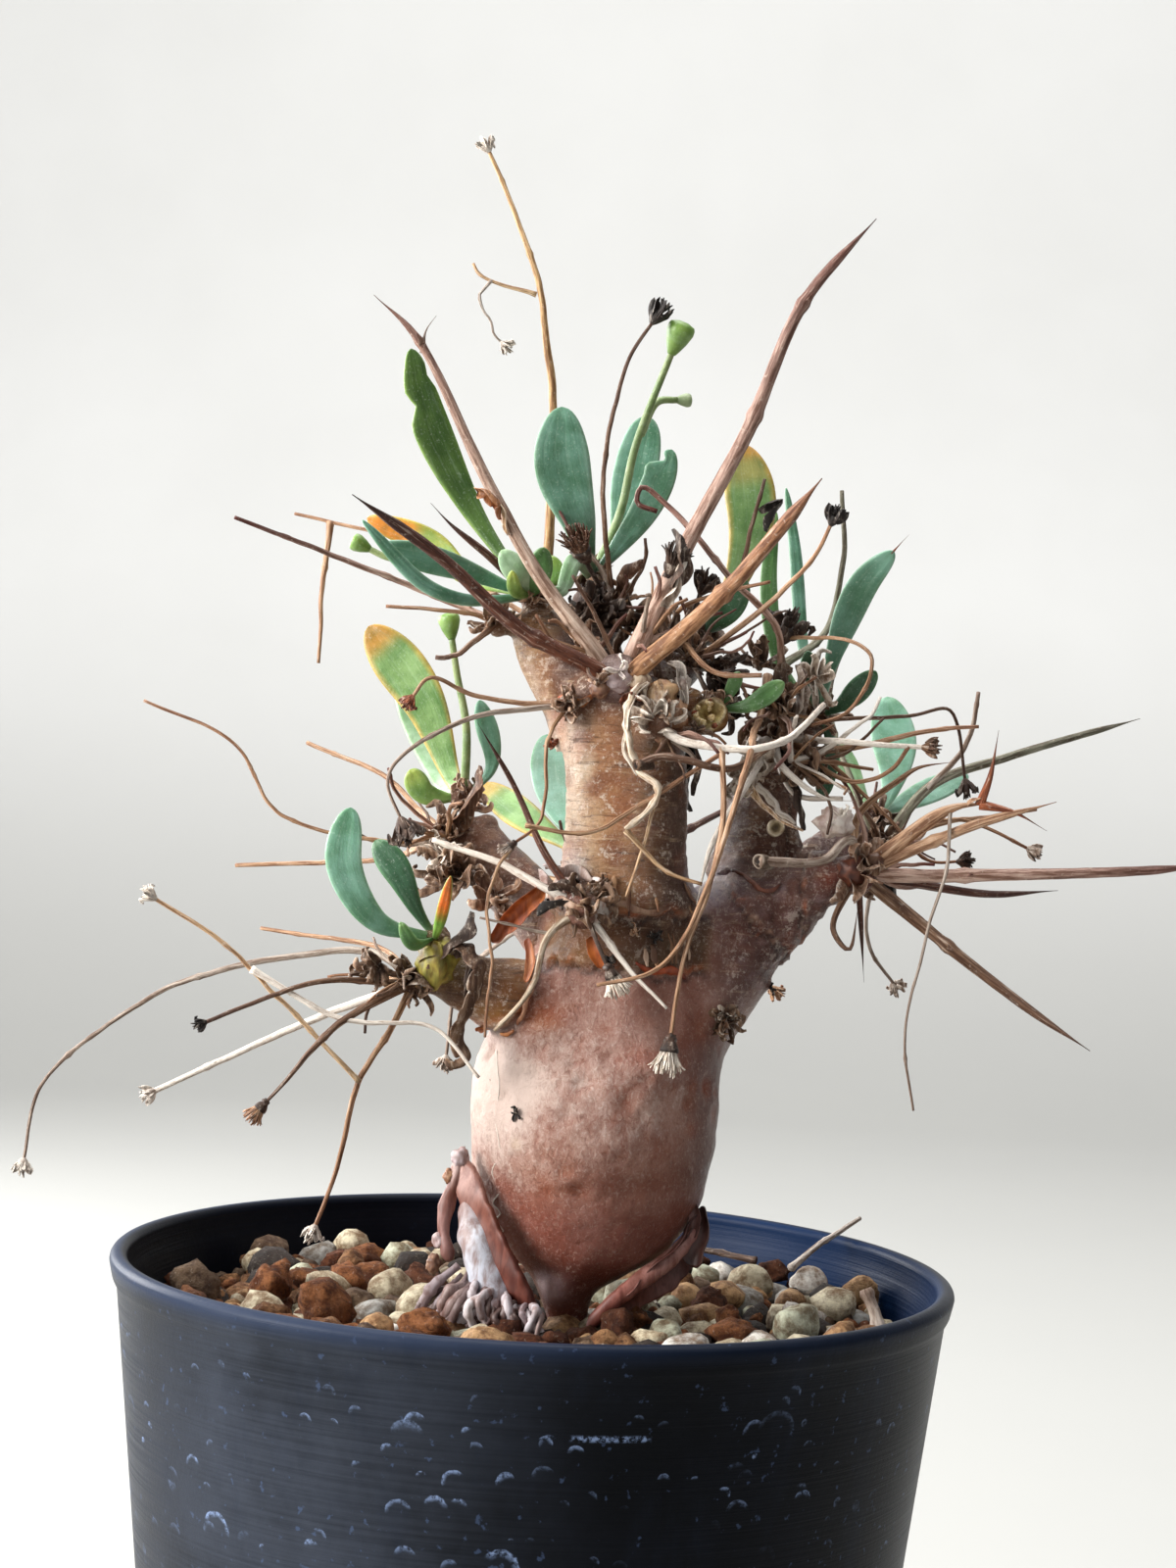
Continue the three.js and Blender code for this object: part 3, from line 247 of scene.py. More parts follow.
# Materials
class Value:
    """What a node gives. It is added, multiplied and compared like a number"""

    def __init__(self, paint, socket):
        self.paint, self.socket = paint, socket

    def maths(self, operation, other=0.0):
        return self.paint.put("Math", {0: self, 1: other}, 0, operation=operation)

    def __add__(self, other):
        return self.maths("ADD", other)

    def __sub__(self, other):
        return self.maths("SUBTRACT", other)

    def __mul__(self, other):
        return self.maths("MULTIPLY", other)

    def __abs__(self):
        return self.maths("ABSOLUTE")

    def most(self, other):
        return self.maths("MAXIMUM", other)

    def band(self, low, high):
        """0 to 1 as the value goes from low to high"""
        values = {"Value": self, "From Min": low, "From Max": high}
        return self.paint.put("MapRange", values, "Result", interpolation_type="SMOOTHSTEP")

    def span(self, low, high):
        """A value from 0 to 1, spread from low to high"""
        return self.paint.put("MapRange", {"Value": self, "To Min": low, "To Max": high}, "Result")

    def parts(self):
        return self.paint.put("SeparateXYZ", {"Vector": self}, ("X", "Y", "Z"))


class Paint:
    """A material's nodes, put in a few at a time, and its colour so far"""

    def __init__(self, name, roughness, specular, colour="#ffffff", **fixed):
        self.material = bpy.data.materials.new(name)
        self.material.use_nodes = True
        self.tree = self.material.node_tree
        self.shader = self.tree.nodes["Principled BSDF"]
        self.colour = colour
        fixed.update(Roughness=roughness, Specular_IOR_Level=specular)
        for key, value in fixed.items():
            self.shader.inputs[key.replace("_", " ")].default_value = value
        self.place = self.put("TexCoord", {}, "Object")

    def put(self, kind, values, out, **settings):
        """A new node and what it gives: its output out, or a list where out names a few"""
        made = self.tree.nodes.new("ShaderNode" + kind)
        for key, value in settings.items():
            setattr(made, key, value)
        for key, value in values.items():
            self.join(made.inputs[key], value)
        if isinstance(out, tuple):
            return [Value(self, made.outputs[key]) for key in out]
        return Value(self, made.outputs[out])

    def join(self, socket, value):
        if isinstance(value, Value):
            self.tree.links.new(value.socket, socket)
        elif isinstance(value, str):
            socket.default_value = (*hue(value), 1)
        else:
            socket.default_value = value

    def noise(self, scale, detail, roughness=0.6, warp=0.0, at=None):
        """A noise pattern. Its scale is a number, or three of them where it is stretched"""
        at = at or self.place
        if isinstance(scale, tuple):
            at = self.put("Mapping", {"Vector": at, "Scale": scale}, "Vector")
            scale = 1.0
        values = {"Vector": at, "Scale": scale, "Detail": detail, "Roughness": roughness, "Distortion": warp}
        return self.put("TexNoise", values, "Fac")

    def mix(self, share, a, b, blend="MIX"):
        """Colour a, covered by colour b as far as share says"""
        return self.put("Mix", {0: share, 6: a, 7: b}, 2, data_type="RGBA", blend_type=blend)

    def lay(self, colour, share, most=1.0):
        """Cover the colour so far, by most where share is 1"""
        self.colour = self.mix(share.span(0, most) if most < 1 else share, self.colour, colour)

    def shade(self, colour, share):
        self.colour = self.mix(share, self.colour, colour, "MULTIPLY")

    def tint(self):
        """Start from the points' own tint. Its alpha is given back"""
        self.colour, alpha = self.put("Attribute", {}, ("Color", "Alpha"), attribute_name="tint")
        return alpha

    def grain(self):
        return self.put("Attribute", {}, "Vector", attribute_name="grain")

    def finish(self, roughness=None, height=None, depth=0.0):
        self.join(self.shader.inputs["Base Color"], self.colour)
        if roughness:
            self.join(self.shader.inputs["Roughness"], roughness)
        if height:
            bump = self.put("Bump", {"Height": height, "Distance": depth, "Strength": 1.0}, "Normal")
            self.join(self.shader.inputs["Normal"], bump)
        return self.material


def bark_material():
    """Waxy skin: its alpha tint is bloom, which on the bole also carries painted highlight, and the first
    number of its grain is how scaly it is
    """
    paint = Paint("bark_skin", 0.42, 0.5)
    bloom = paint.tint()
    scaly = paint.grain().parts()[0]
    blotch = paint.noise(170, 5)
    middle = paint.noise(620, 6, 0.7)
    crackle = paint.noise((1700, 1700, 1100), 8, 0.78, 0.9)
    paint.shade("#dcbcae", blotch.band(0.68, 0.34))
    paint.lay("#5f382c", middle.band(0.44, 0.32), 0.3)
    paint.lay("#5a3226", crackle.band(0.47, 0.36), 0.45)
    paint.lay("#ecd6c8", crackle.band(0.53, 0.68), 0.3)
    paint.lay("#f0d8c4", paint.noise(2600, 3).band(0.58, 0.7), 0.2)
    wax = (bloom + (crackle * 1.7 + middle * 0.6 + blotch * 0.3)).band(1.35, 2.35)
    paint.lay("#d6c2b6", wax, 0.82)
    wrinkle = paint.noise((170, 170, 1500), 7, 0.72, 0.5)
    crumbs = paint.noise(1500, 6, 0.75) + paint.noise(380, 5, 0.7) * 0.8
    flake = scaly * crumbs.band(0.97, 1.06)
    paint.lay("#e4c6a2", scaly * wrinkle.band(0.54, 0.68), 0.55)
    paint.lay("#4c2c1a", scaly * wrinkle.band(0.46, 0.35), 0.75)
    paint.lay("#e6d6c6", flake, 0.7)
    height = middle * 0.8 + crackle * 0.8 + (wrinkle + crumbs * 0.8) * (scaly * 2.2)
    return paint.finish(wax.most(flake).span(0.3, 0.56), height, 0.0003)


def peel_material():
    """Peeled bark: papery and streaked, paler where its tint's alpha says"""
    paint = Paint("peeled_bark", 0.5, 0.45)
    pale = paint.tint()
    streak = paint.noise((700, 700, 200), 5, 0.65, 0.4)
    paint.shade("#b79c92", streak.band(0.62, 0.36))
    paint.lay("#d9cac8", (pale + paint.noise(420, 4) * 0.6).band(0.7, 1.25), 0.85)
    return paint.finish(streak.span(0.36, 0.62), streak, 0.00007)


def dry_material(name, roughness, fibre, depth):
    """Dry stalks: fibres run along the grain, which goes round and along the stalk"""
    paint = Paint(name, roughness, 0.4)
    pale = paint.tint()
    streak = paint.noise((fibre, fibre, 0.22), 5, 0.65, at=paint.grain())
    spots = paint.noise(1.4, 4, 0.65, at=paint.grain())
    paint.shade("#a28c7c", streak.band(0.58, 0.38))
    paint.lay("#f0e0ce", streak.band(0.56, 0.68), 0.35)
    paint.lay("#e6d8c8", spots.band(0.58, 0.72), 0.35)
    paint.lay("#e9e0d4", (pale + spots * 0.8).band(0.7, 1.2))
    return paint.finish(spots.span(roughness - 0.1, roughness + 0.2), streak + spots * 0.4, depth)


def leaf_material():
    """Fleshy leaves with a waxy bloom. Their grain goes across and along them"""
    flesh = {"Subsurface_Weight": 0.12, "Subsurface_Scale": 0.001, "Subsurface_Radius": (0.6, 1.0, 0.4)}
    paint = Paint("leaf_flesh", 0.42, 0.45, **flesh)
    bloom = paint.tint()
    veins = paint.noise((1.1, 0.16, 1), 3, 0.55, 0.6, paint.grain())
    mottle = paint.noise(260, 4, 0.6)
    fine = paint.noise(3200, 3)
    paint.shade("#b4c8ae", mottle.band(0.68, 0.32))
    paint.lay("#c9dccb", veins.band(0.5, 0.75), 0.1)
    wax = (bloom + mottle * 0.6).band(0.4, 1.3)
    paint.lay("#a4bdae", wax, 0.5)
    paint.lay("#dfe9dc", fine.band(0.58, 0.7), 0.16)
    return paint.finish((wax * 0.6 + fine).span(0.32, 0.5), veins + fine, 0.00005)


def stone_material():
    """Gravel grains: their tint's alpha is how rough and crumbly each is"""
    paint = Paint("mineral_grains", 0.8, 0.3)
    crumbly = paint.tint()
    coarse = paint.noise(420, 6, 0.7)
    fine = paint.noise(1500, 6, 0.75, 0.4)
    paint.shade("#8c7460", coarse.band(0.66, 0.36))
    paint.lay("#3a2418", fine.band(0.48, 0.36) * crumbly, 0.75)
    paint.lay("#efdfca", fine.band(0.58, 0.72), 0.4)
    height = fine * crumbly.span(0.1, 1.5) + coarse * crumbly.span(0.1, 1.2)
    return paint.finish(crumbly.span(0.5, 0.95), height, 0.0009)


def soil_material():
    paint = Paint("dark_soil", 0.95, 0.2, "#1f1610")
    crumbs = paint.noise(700, 8, 0.75)
    paint.lay("#5f4029", crumbs.band(0.35, 0.65))
    return paint.finish(None, crumbs, 0.001)


def pot_material():
    """Satin blue-black plastic: turning lines, pale crescent scuffs, specks and a scratch; painted sheen
    mixed with dust on the left, a painted highlight along the rim, and inside it painted light in navy on the
    right and painted shade, near black, on the left
    """
    paint = Paint("pot_plastic", 0.42, 0.07, "#05070b")
    lines = paint.noise((25, 25, 2600), 3, 0.6)
    cloud = paint.noise(38, 5, 0.65)
    grit = paint.noise(1700, 4, 0.7)
    x, y, z = paint.place.parts()
    inside = ((x * x + y * y).maths("SQRT") - z * 0.1167).band(0.0409, 0.0402)
    scuffs = crescents(paint, 120, 0.078, 0.15, 0.0)
    scuffs = scuffs.most(crescents(paint, 190, 0.104, 0.3, 3.1)).most(crescents(paint, 300, 0.156, 0.4, 1.7))
    scuffs = scuffs * grit.band(0.34, 0.62) * paint.noise(55, 3).band(0.36, 0.6).span(0.2, 1)
    scratch = abs(z - 0.0797).band(0.0005, 0.0001) * abs(x - 0.0098).band(0.0046, 0.0036)
    scratch = scratch * y.band(-0.03, -0.04) * grit.band(0.42, 0.6)
    scuffs = scuffs.most(scratch) * (z + inside).band(0.0855, 0.0835)
    paint.lay("#0b0f18", cloud.band(0.3, 0.72))
    # Painted sheen: grey on the pot's left side where light falls, mottled with dust along the cloud and
    # turning lines
    left = x.band(0.012, -0.022) * x.band(-0.03, -0.047).span(1, 0.35)
    paint.lay("#474d59", left * (cloud * 0.6 + lines * 0.25).band(0.1, 0.75), 0.85)
    rubbed = cloud.band(0.4, 0.7) * lines.band(0.35, 0.7)
    paint.lay("#262b35", rubbed, 0.2)
    paint.lay("#18202f", paint.noise((90, 90, 30), 6, 0.7).band(0.48, 0.72), 0.3)
    paint.lay("#4a5b7c", paint.noise(700, 3, 0.55).band(0.64, 0.72), 0.4)
    paint.lay("#8296bc", scuffs, 0.85)
    # Painted highlight: a bluish line along the top of the rim, strongest at the left
    paint.lay("#26324a", z.band(0.0872, 0.0892) * x.band(0.03, -0.03).span(0.4, 1), 0.6)
    # Inside the pot: painted shade, near black, on the left inner wall, and painted light, a lit navy, on the
    # right inner wall
    paint.lay(paint.mix(x.band(-0.02, 0.03), "#060810", "#0e2342"), inside, 0.9)
    return paint.finish((scuffs * 0.5 + rubbed * 0.4).span(0.38, 0.72), lines + grit * 0.5, 0.00006)


def crescents(paint, scale, width, least, shift):
    """Small crescent marks: the upper part of a ring round some of the cell centres of a cell pattern"""
    place = paint.put("Mapping", {"Vector": paint.place, "Location": (shift,) * 3}, "Vector")
    cells = {"Vector": place, "Scale": scale, "Randomness": 0.95}
    middle, dice, far = paint.put("TexVoronoi", cells, ("Position", "Color", "Distance"))
    chance, size, tilt = dice.parts()
    side, _, rise = paint.put("VectorMath", {0: place, 1: middle}, 0, operation="SUBTRACT").parts()
    size = size * 0.14 + 0.2
    far = far + paint.noise(520, 3) * 0.09
    ring = (size - far).band(width, 0) * (far - size).band(0.02, 0)
    upper = (rise * scale + side * scale * tilt.span(-0.9, 0.9)).band(0.02, 0.16)
    return ring * upper * chance.band(least, 0.9)


def floor_material():
    paint = Paint("pale_floor", 0.9, 0.2, "#a6a6a3")
    # Painted light: the sweep is painted lighter as it rises into the wall
    paint.lay("#e6e6e4", paint.place.parts()[2].band(-0.05, 0.3))
    paint.lay("#b9b8b3", paint.noise(6, 3), 0.3)
    return paint.finish()


MATERIALS = {
    "bark": bark_material(),
    "peel": peel_material(),
    "thorn": dry_material("thorn_fibre", 0.5, 2.4, 0.00025),
    "dry": dry_material("dry_stalk", 0.6, 1.6, 0.00015),
    "leaf": leaf_material(),
    "stone": stone_material(),
    "soil": soil_material(),
    "pot": pot_material(),
}

# Colours of dry parts from foot to tip, with how pale and papery they are
DRY = {
    "tan": ("#bb9672", "#94684a", 0.1), "pink": ("#d6b4a2", "#5e2418", 0.1),
    "grey": ("#b8aca0", "#8b7566", 0.2), "red": ("#703e28", "#3c1b13", 0.0),
    "orange": ("#b28660", "#8e5c3e", 0.0), "brown": ("#84634a", "#5f4232", 0.0),
    "white": ("#efe6dc", "#d2c2b2", 0.6), "cream": ("#d6b890", "#bb946c", 0.3),
    "peach": ("#c7a080", "#a8805f", 0.15), "dark": ("#594234", "#3a2c24", 0.0),
    "olive": ("#8d8b74", "#6a6654", 0.1), "rust": ("#a0552d", "#6d3a24", 0.0),
    "black": ("#332a26", "#201b18", 0.0), "silver": ("#c4bab0", "#a0958c", 0.4),
    "green": ("#8fa070", "#8f9a66", 0.1), "litter": ("#4f382b", "#84674f", 0.1),
    "paper": ("#a8927e", "#d2c2b0", 0.35), "husk": ("#6f4a38", "#a5856c", 0.15),
    "bristle": ("#8d745e", "#e8dccb", 0.35), "bone": ("#dcccb4", "#c4ae92", 0.4),
    "gold": ("#a87f50", "#c6a272", 0.1), "scrap": ("#cf945e", "#a05c34", 0.1),
    "wax": ("#cfc0c4", "#b7a2a0", 0.5), "crumb": ("#fff0c4", "#d0b06c", 0.1),
    "stump": ("#b4a848", "#6e6a30", 0.05), "ash": ("#b49c8a", "#6a3c2c", 0.2),
}

# Leaves: body colour, tip colour and where it starts, edge colour, and bloom
LEAVES = {
    "blue": ("#558a72", "#5f9078", 0.9, "#8db09c", 0.35),
    "green": ("#547c44", "#64854a", 0.9, "#86a878", 0.1),
    "moss": ("#4c6a2c", "#5a7a30", 0.85, "#7f9a4a", 0.05),
    "dark": ("#3a6146", "#466f4b", 0.9, "#5f8a62", 0.1),
    "lime": ("#86a85a", "#a9b452", 0.7, "#a8bd78", 0.05),
    "amber": ("#8aa850", "#e08a28", 0.55, "#c9b34a", 0.0),
    "autumn": ("#7f9f62", "#c98a34", 0.78, "#d8a548", 0.1),
    "pale": ("#a9c6a4", "#b6cfa8", 0.9, "#bcd4b4", 0.3),
    "young": ("#86b04a", "#e8701c", 0.5, "#b0c850", 0.0),
    "mist": ("#6aa288", "#76ac90", 0.9, "#9cc4ac", 0.4),
}


# Pieces of a spray or a shoot. Each gives a function that grows it in a shape, with a random draw
def dry_tint(look, t, draw, shade=0.12):
    foot, tip, pale = DRY[look]
    factor = 1 + shade * (2 * draw.random() - 1)
    colour = (hue(foot) * (1 - t[:, None]) + hue(tip) * t[:, None]) * factor
    return np.column_stack([colour, np.full(len(t), pale + 0.1 * (draw.random() - 0.5))])


def edged(base, t, s, dark, light, paper):
    """A strip's tint: base along its middle, and lighter and more papery at its edges"""
    base = base[:, None]
    edge = np.broadcast_to(np.abs(s) ** 3, (len(t), len(s)))[..., None]
    return np.concatenate([base[..., :3] * (dark + light * edge), base[..., 3:] + paper * edge], axis=-1)


def round_tube(shape, centres, run, radii, sides, slot, tint, flute=0.0, seed=0.0):
    """A round surface along centres. Its radius ripples by flute, in ridges that run along it"""
    _, normals, across = carried(centres)
    ring = np.stack([np.cos(turns(sides)), np.sin(turns(sides))], axis=1)
    spread = np.repeat(radii[:, None], sides, axis=1)
    if flute:
        places = [(1.6 * c, 1.6 * s, 0.11 * z) for z in run for c, s in ring]
        spread = spread * (1 + flute * ripple(places, 1.0, seed).reshape(len(run), sides))
    out = ring[None, :, 0, None] * normals[:, None] + ring[None, :, 1, None] * across[:, None]
    rings = centres[:, None] + out * spread[..., None]
    grain = np.empty((len(run), sides, 3))
    grain[..., :2] = ring[None] * 0.8 + seed
    grain[..., 2] = run[:, None]
    shape.rings(rings, slot, tint[:, None], grain)


def blade(shape, centres, ups, left, right, thick, slot, tint, cup=0.0, groove=0.0, crumple=0.0, rough=0.55,
          seed=0.0, across=9, grain=None):
    """A sheet with a rounded edge along centres, whose faces turn to ups. Its edges are lifted by cup"""
    tangents = unit(np.gradient(centres, axis=0))
    sides = unit(np.cross(tangents, ups))
    ups = np.cross(sides, tangents)
    s = np.sin(np.linspace(-math.pi / 2, math.pi / 2, across))
    half = np.where(s[None] < 0, left[:, None], right[:, None])
    thick = np.broadcast_to(thick, len(centres))
    body = np.sqrt(1 - 0.96 * s ** 2)[None] * thick[:, None] / 2
    lift = cup * np.abs(half) * s[None] ** 2
    dip = groove * peak(s[None], 0, 0.12) * np.minimum(thick[:, None], 1)
    middle = centres[:, None] + sides[:, None] * (half * s[None])[..., None]
    if crumple:
        lift = lift + crumple * ripple(middle.reshape(-1, 3), rough, seed).reshape(half.shape)
    top = middle + ups[:, None] * (lift + body - dip)[..., None]
    bottom = middle + ups[:, None] * (lift - body - 0.6 * dip)[..., None]
    rings = np.concatenate([bottom, top[:, -2:0:-1]], axis=1)
    order = np.concatenate([s, s[-2:0:-1]])
    tint = tint(order) if callable(tint) else tint[:, None]
    shape.rings(rings, slot, tint, grain(order) if grain else None)


def thorn(route, foot, tip, look="tan", nodes=()):
    """A thick dry stalk that ends in a point. nodes are the places of its joints, as shares of its length"""
    def grow(shape, draw):
        centres, run, t = even(route, 0.6)
        seed = 50 * draw.random()
        centres = centres + wander(centres, 0.07, seed, (1, 9, 17)) * 0.15 * np.sin(math.pi * t)[:, None]
        radii = (foot + (tip - foot) * t ** 0.9) / 2 * (1 + 0.05 * ripple(centres, 0.5, seed))
        radii = radii * (1 + 0.2 * np.exp(-run / 1.5)) * (1 - 0.9 * smooth(1 - 8 / run[-1], 1.0, t))
        for node in nodes:
            radii = radii * (1 + 0.3 * peak((t - node) * run[-1], 0, 0.7))
        tint = dry_tint(look, t ** 1.4, draw)
        round_tube(shape, centres, run, radii, SIDES["thorn"], "thorn", tint, 0.1, seed)
        for node in nodes:
            i = int(node * (len(run) - 2))
            out = unit(np.array([draw.uniform(-1, 1), -1, draw.uniform(0, 1)]))
            scale_leaf(shape, centres[i], out, unit(centres[i + 1] - centres[i]), 1.5, look, draw)
    return grow


def scale_leaf(shape, at, out, along, length, look, draw):
    """A tiny pointed scale that stands off a stalk"""
    route = [at, at + out * length * 0.45 + along * length * 0.25, at + out * length * 0.7 + along * length]
    centres, _, t = even(route, 0.25)
    half = 0.3 * length * (1 - t ** 1.5) + 0.04
    ups = np.repeat([unit(out - along * 0.2)], len(t), axis=0)
    blade(shape, centres, ups, half, half, 0.16, "dry", dry_tint(look, t, draw), 0.4, across=5)


def stalk(route, foot, tip, look="tan", head_size=0, head_look=None, spread=0.8, wave=0.12, scales=1):
    """A thin dry stalk, with a flower head at its end where it has a size"""
    def grow(shape, draw):
        centres, run, t = even(route, 0.6)
        seed = 50 * draw.random()
        move = wander(centres, 0.12, seed, (1, 9, 17)) * 3 + wander(centres, 0.5, seed, (3, 5, 7)) * 0.8
        centres = centres + move * wave * np.sin(math.pi * t)[:, None]
        radii = (foot + (tip - foot) * t) / 2 * (1 + 0.05 * ripple(centres, 0.5, seed))
        radii = radii * (1 + 0.4 * np.exp(-run))
        for _ in range(scales):
            radii = radii * (1 + 0.3 * peak(run, draw.uniform(0.2, 0.95) * run[-1], 0.4))
        tint = dry_tint(look, t, draw)
        round_tube(shape, centres, run, radii, SIDES["stalk"], "dry", tint, 0.1, seed)
        if head_size:
            away = unit(centres[-1] - centres[-3])
            at = centres[-1] + away * head_size * 0.3
            head(at, head_size, away, head_look or look, spread)(shape, draw)
    return grow


def head(at, size, away, look, spread):
    """A dry flower head: a ribbed cup, bracts that curl open by spread, and a ragged middle"""
    def grow(shape, draw):
        shaggy = spread < 0.4
        count, broad = (40, 0.08) if shaggy else (9, 0.28)
        axis, one, two = crossing(at, away)
        foot = np.array(at, float)
        levels = np.linspace(0, 1, 7)
        centres = foot + np.outer(levels * 0.42 - 0.5, axis) * size
        radii = size * (0.07 + 0.2 * np.sin(levels * 1.7))
        cup = dry_tint("dark" if shaggy else look, levels, draw)
        round_tube(shape, centres, levels * 3, radii, SIDES["cup"], "dry", cup, 0.3, draw.random() * 9)
        for k in range(count):
            turn = 2 * math.pi * (k + 0.6 * draw.random()) / count
            out = one * math.cos(turn) + two * math.sin(turn)
            bend = spread * draw.uniform(0.6, 1.3)
            steps = ((-0.3, 0.15), (0.04, 0.27 + 0.1 * bend), (0.4 - 0.3 * bend, 0.24 + 0.28 * bend),
                     (0.52 - 0.65 * bend, 0.1 + 0.42 * bend))
            if shaggy:
                flare = draw.random()
                steps = ((-0.35, 0.1), (-0.05, 0.2), (0.25, 0.22 + 0.18 * flare),
                         (0.62 - 0.3 * flare, 0.2 + 0.34 * flare))
            route = [foot + axis * size * up + out * size * far for up, far in steps]
            bract(shape, route, size * broad * draw.uniform(0.8, 1.2), look, draw)
        if shaggy:
            knob(foot - axis * size * 0.42, size * 0.34, "dark")(shape, draw)
        for _ in range(COUNTS["threads"]):
            turn = draw.uniform(0, 2 * math.pi)
            out = one * math.cos(turn) + two * math.sin(turn)
            route = [foot - axis * size * 0.15, foot + axis * size * 0.15 + out * size * 0.1,
                     foot + axis * size * draw.uniform(0.2, 0.45) + out * size * draw.uniform(0.05, 0.3)]
            bract(shape, route, 0.13 * size, look, draw)
    return grow


def bract(shape, route, width, look, draw, thick=0.16, cup=0.7, step=0.3):
    """A small dry curled leaf, broadest in its middle"""
    centres, _, t = even(route, step)
    half = width / 2 * np.sin(math.pi * (0.14 + 0.8 * t)) ** 0.8
    side = np.cross(route[1] - route[0], unit(scatter(draw)))
    ups = np.repeat([unit(np.cross(route[-1] - route[0], side))], len(t), axis=0)
    base = dry_tint(look, t, draw, 0.35)
    blade(shape, centres, ups, half, half, thick, "dry", lambda s: edged(base, t, s, 0.8, 0.6, 0.35), cup,
          crumple=0.12 * width, rough=1.1, seed=9 * draw.random(), across=7)


# A cut end's colours from its bark to its middle: a pale fresh one, and hollow ones whose dark middles are
# painted shade standing in for the hollow
FRESH = ("#5a3c24", "#7a5636", "#b0884e", "#f6eac0", "#f2e2a4", "#e6d288", "#cdb468")
DARK = ("#5a4434",) * 3 + ("#8a6a50", "#4a382c", "#1c1512", "#1c1512")
DULL = ("#8a7a6a",) * 3 + ("#b8a898", "#4a382c", "#1c1512", "#1c1512")
IVORY = ("#5a4436", "#5a4436", "#b9a484", "#e6dcc4", "#cdbd9c", "#7c6c50", "#4a3c2c")


def cut_face(at, away, radius, looks, crumbs=0):
    """The crumbly end of a cut stem, dished and pitted, with its colours from the bark to the middle"""
    def grow(shape, draw):
        axis, one, two = crossing(at, away)
        angles = turns(SIDES["cut"])
        out = np.outer(np.cos(angles), one) + np.outer(np.sin(angles), two)
        rows = []
        section = ((0.8, -2.2), (1.05, -1.2), (1.1, -0.2), (0.98, 0.25), (0.8, 0), (0.5, -0.25), (0.2, -0.1))
        for reach, lift in section:
            ring = np.array(at) + out * radius * reach + axis * lift
            uneven = out * 0.2 * ripple(ring, 0.9, 6)[:, None] + axis * 0.16 * ripple(ring, 1.6, 2)[:, None]
            rows.append(ring + uneven * radius)
        for _ in range(crumbs):
            turn, far = draw.uniform(0, 2 * math.pi), draw.uniform(0.1, 1.0) ** 0.6
            side = one * math.cos(turn) + two * math.sin(turn)
            spot = np.array(at) + side * radius * far * 0.95 + axis * 0.22
            knob(spot, radius * draw.uniform(0.2, 0.44), "rust" if far > 0.88 else "crumb")(shape, draw)
        tint = np.column_stack([np.array([hue(c) for c in looks]), np.full(7, 0.15)])
        shape.rings(np.array(rows), "stone", tint[:, None])
    return grow


def tuft(at, size, look="litter", away=(0, -1, 0.2), count=14):
    """A withered cluster: small curled leaves that stand out from one place"""
    def grow(shape, draw):
        axis, middle = unit(np.array(away, float)), np.array(at, float)
        for _ in range(count):
            out = unit(scatter(draw, 0.8) + axis * 0.9)
            side = unit(np.cross(out, scatter(draw)))
            reach = size * draw.uniform(0.4, 0.75)
            curl = draw.uniform(0.2, 0.9)
            steps = ((0, 0), (0.5, 0.1), (0.9, 0.35 * curl), (1 - 0.25 * curl, 0.75 * curl))
            route = [middle + out * reach * far + side * reach * aside for far, aside in steps]
            width = size * draw.uniform(0.14, 0.3)
            bract(shape, route, width, look, draw, 0.22, draw.uniform(0.5, 1.4), 0.35)
    return grow


def wires(at, reach, count, away, looks=("tan", "brown", "grey", "pink")):
    """Thin broken stalks that curl out from one place"""
    def grow(shape, draw):
        foot = np.array(at, float)
        for _ in range(count):
            out = unit(scatter(draw, 0.7) + away)
            side = unit(np.cross(out, scatter(draw)))
            far = reach * draw.uniform(0.45, 1.0)
            curl = draw.uniform(0.1, 0.8)
            steps = ((0, 0), (0.4, 0.1), (0.75, 0.4), (0.9, 0.8))
            route = [foot + (out * along + side * aside * curl) * far for along, aside in steps]
            thin = draw.uniform(0.4, 0.75)
            stalk(route, thin, thin * 0.6, draw.choice(looks), wave=0.3)(shape, draw)
    return grow


def knob(at, size, look="wax", lumps=1.4):
    """A lumpy dry knuckle"""
    def grow(shape, draw):
        points, faces = unit_sphere(3)
        seed = draw.uniform(0, 50)
        swell = 1 + 0.32 * ripple(points, lumps, seed) + 0.3 * ripple(points, lumps * 3, seed)
        swell += 0.16 * ripple(points, lumps * 7, seed)
        foot, tip, pale = DRY[look]
        share = smooth(-0.4, 0.4, ripple(points, lumps * 1.6, seed + 5))[:, None]
        colour = hue(foot) * (1 - share) + hue(tip) * share
        body = points * swell[:, None] * np.asarray(size) / 2 + at
        shape.take(body, faces, "peel", np.column_stack([colour, np.full(len(points), pale)]), body)
    return grow


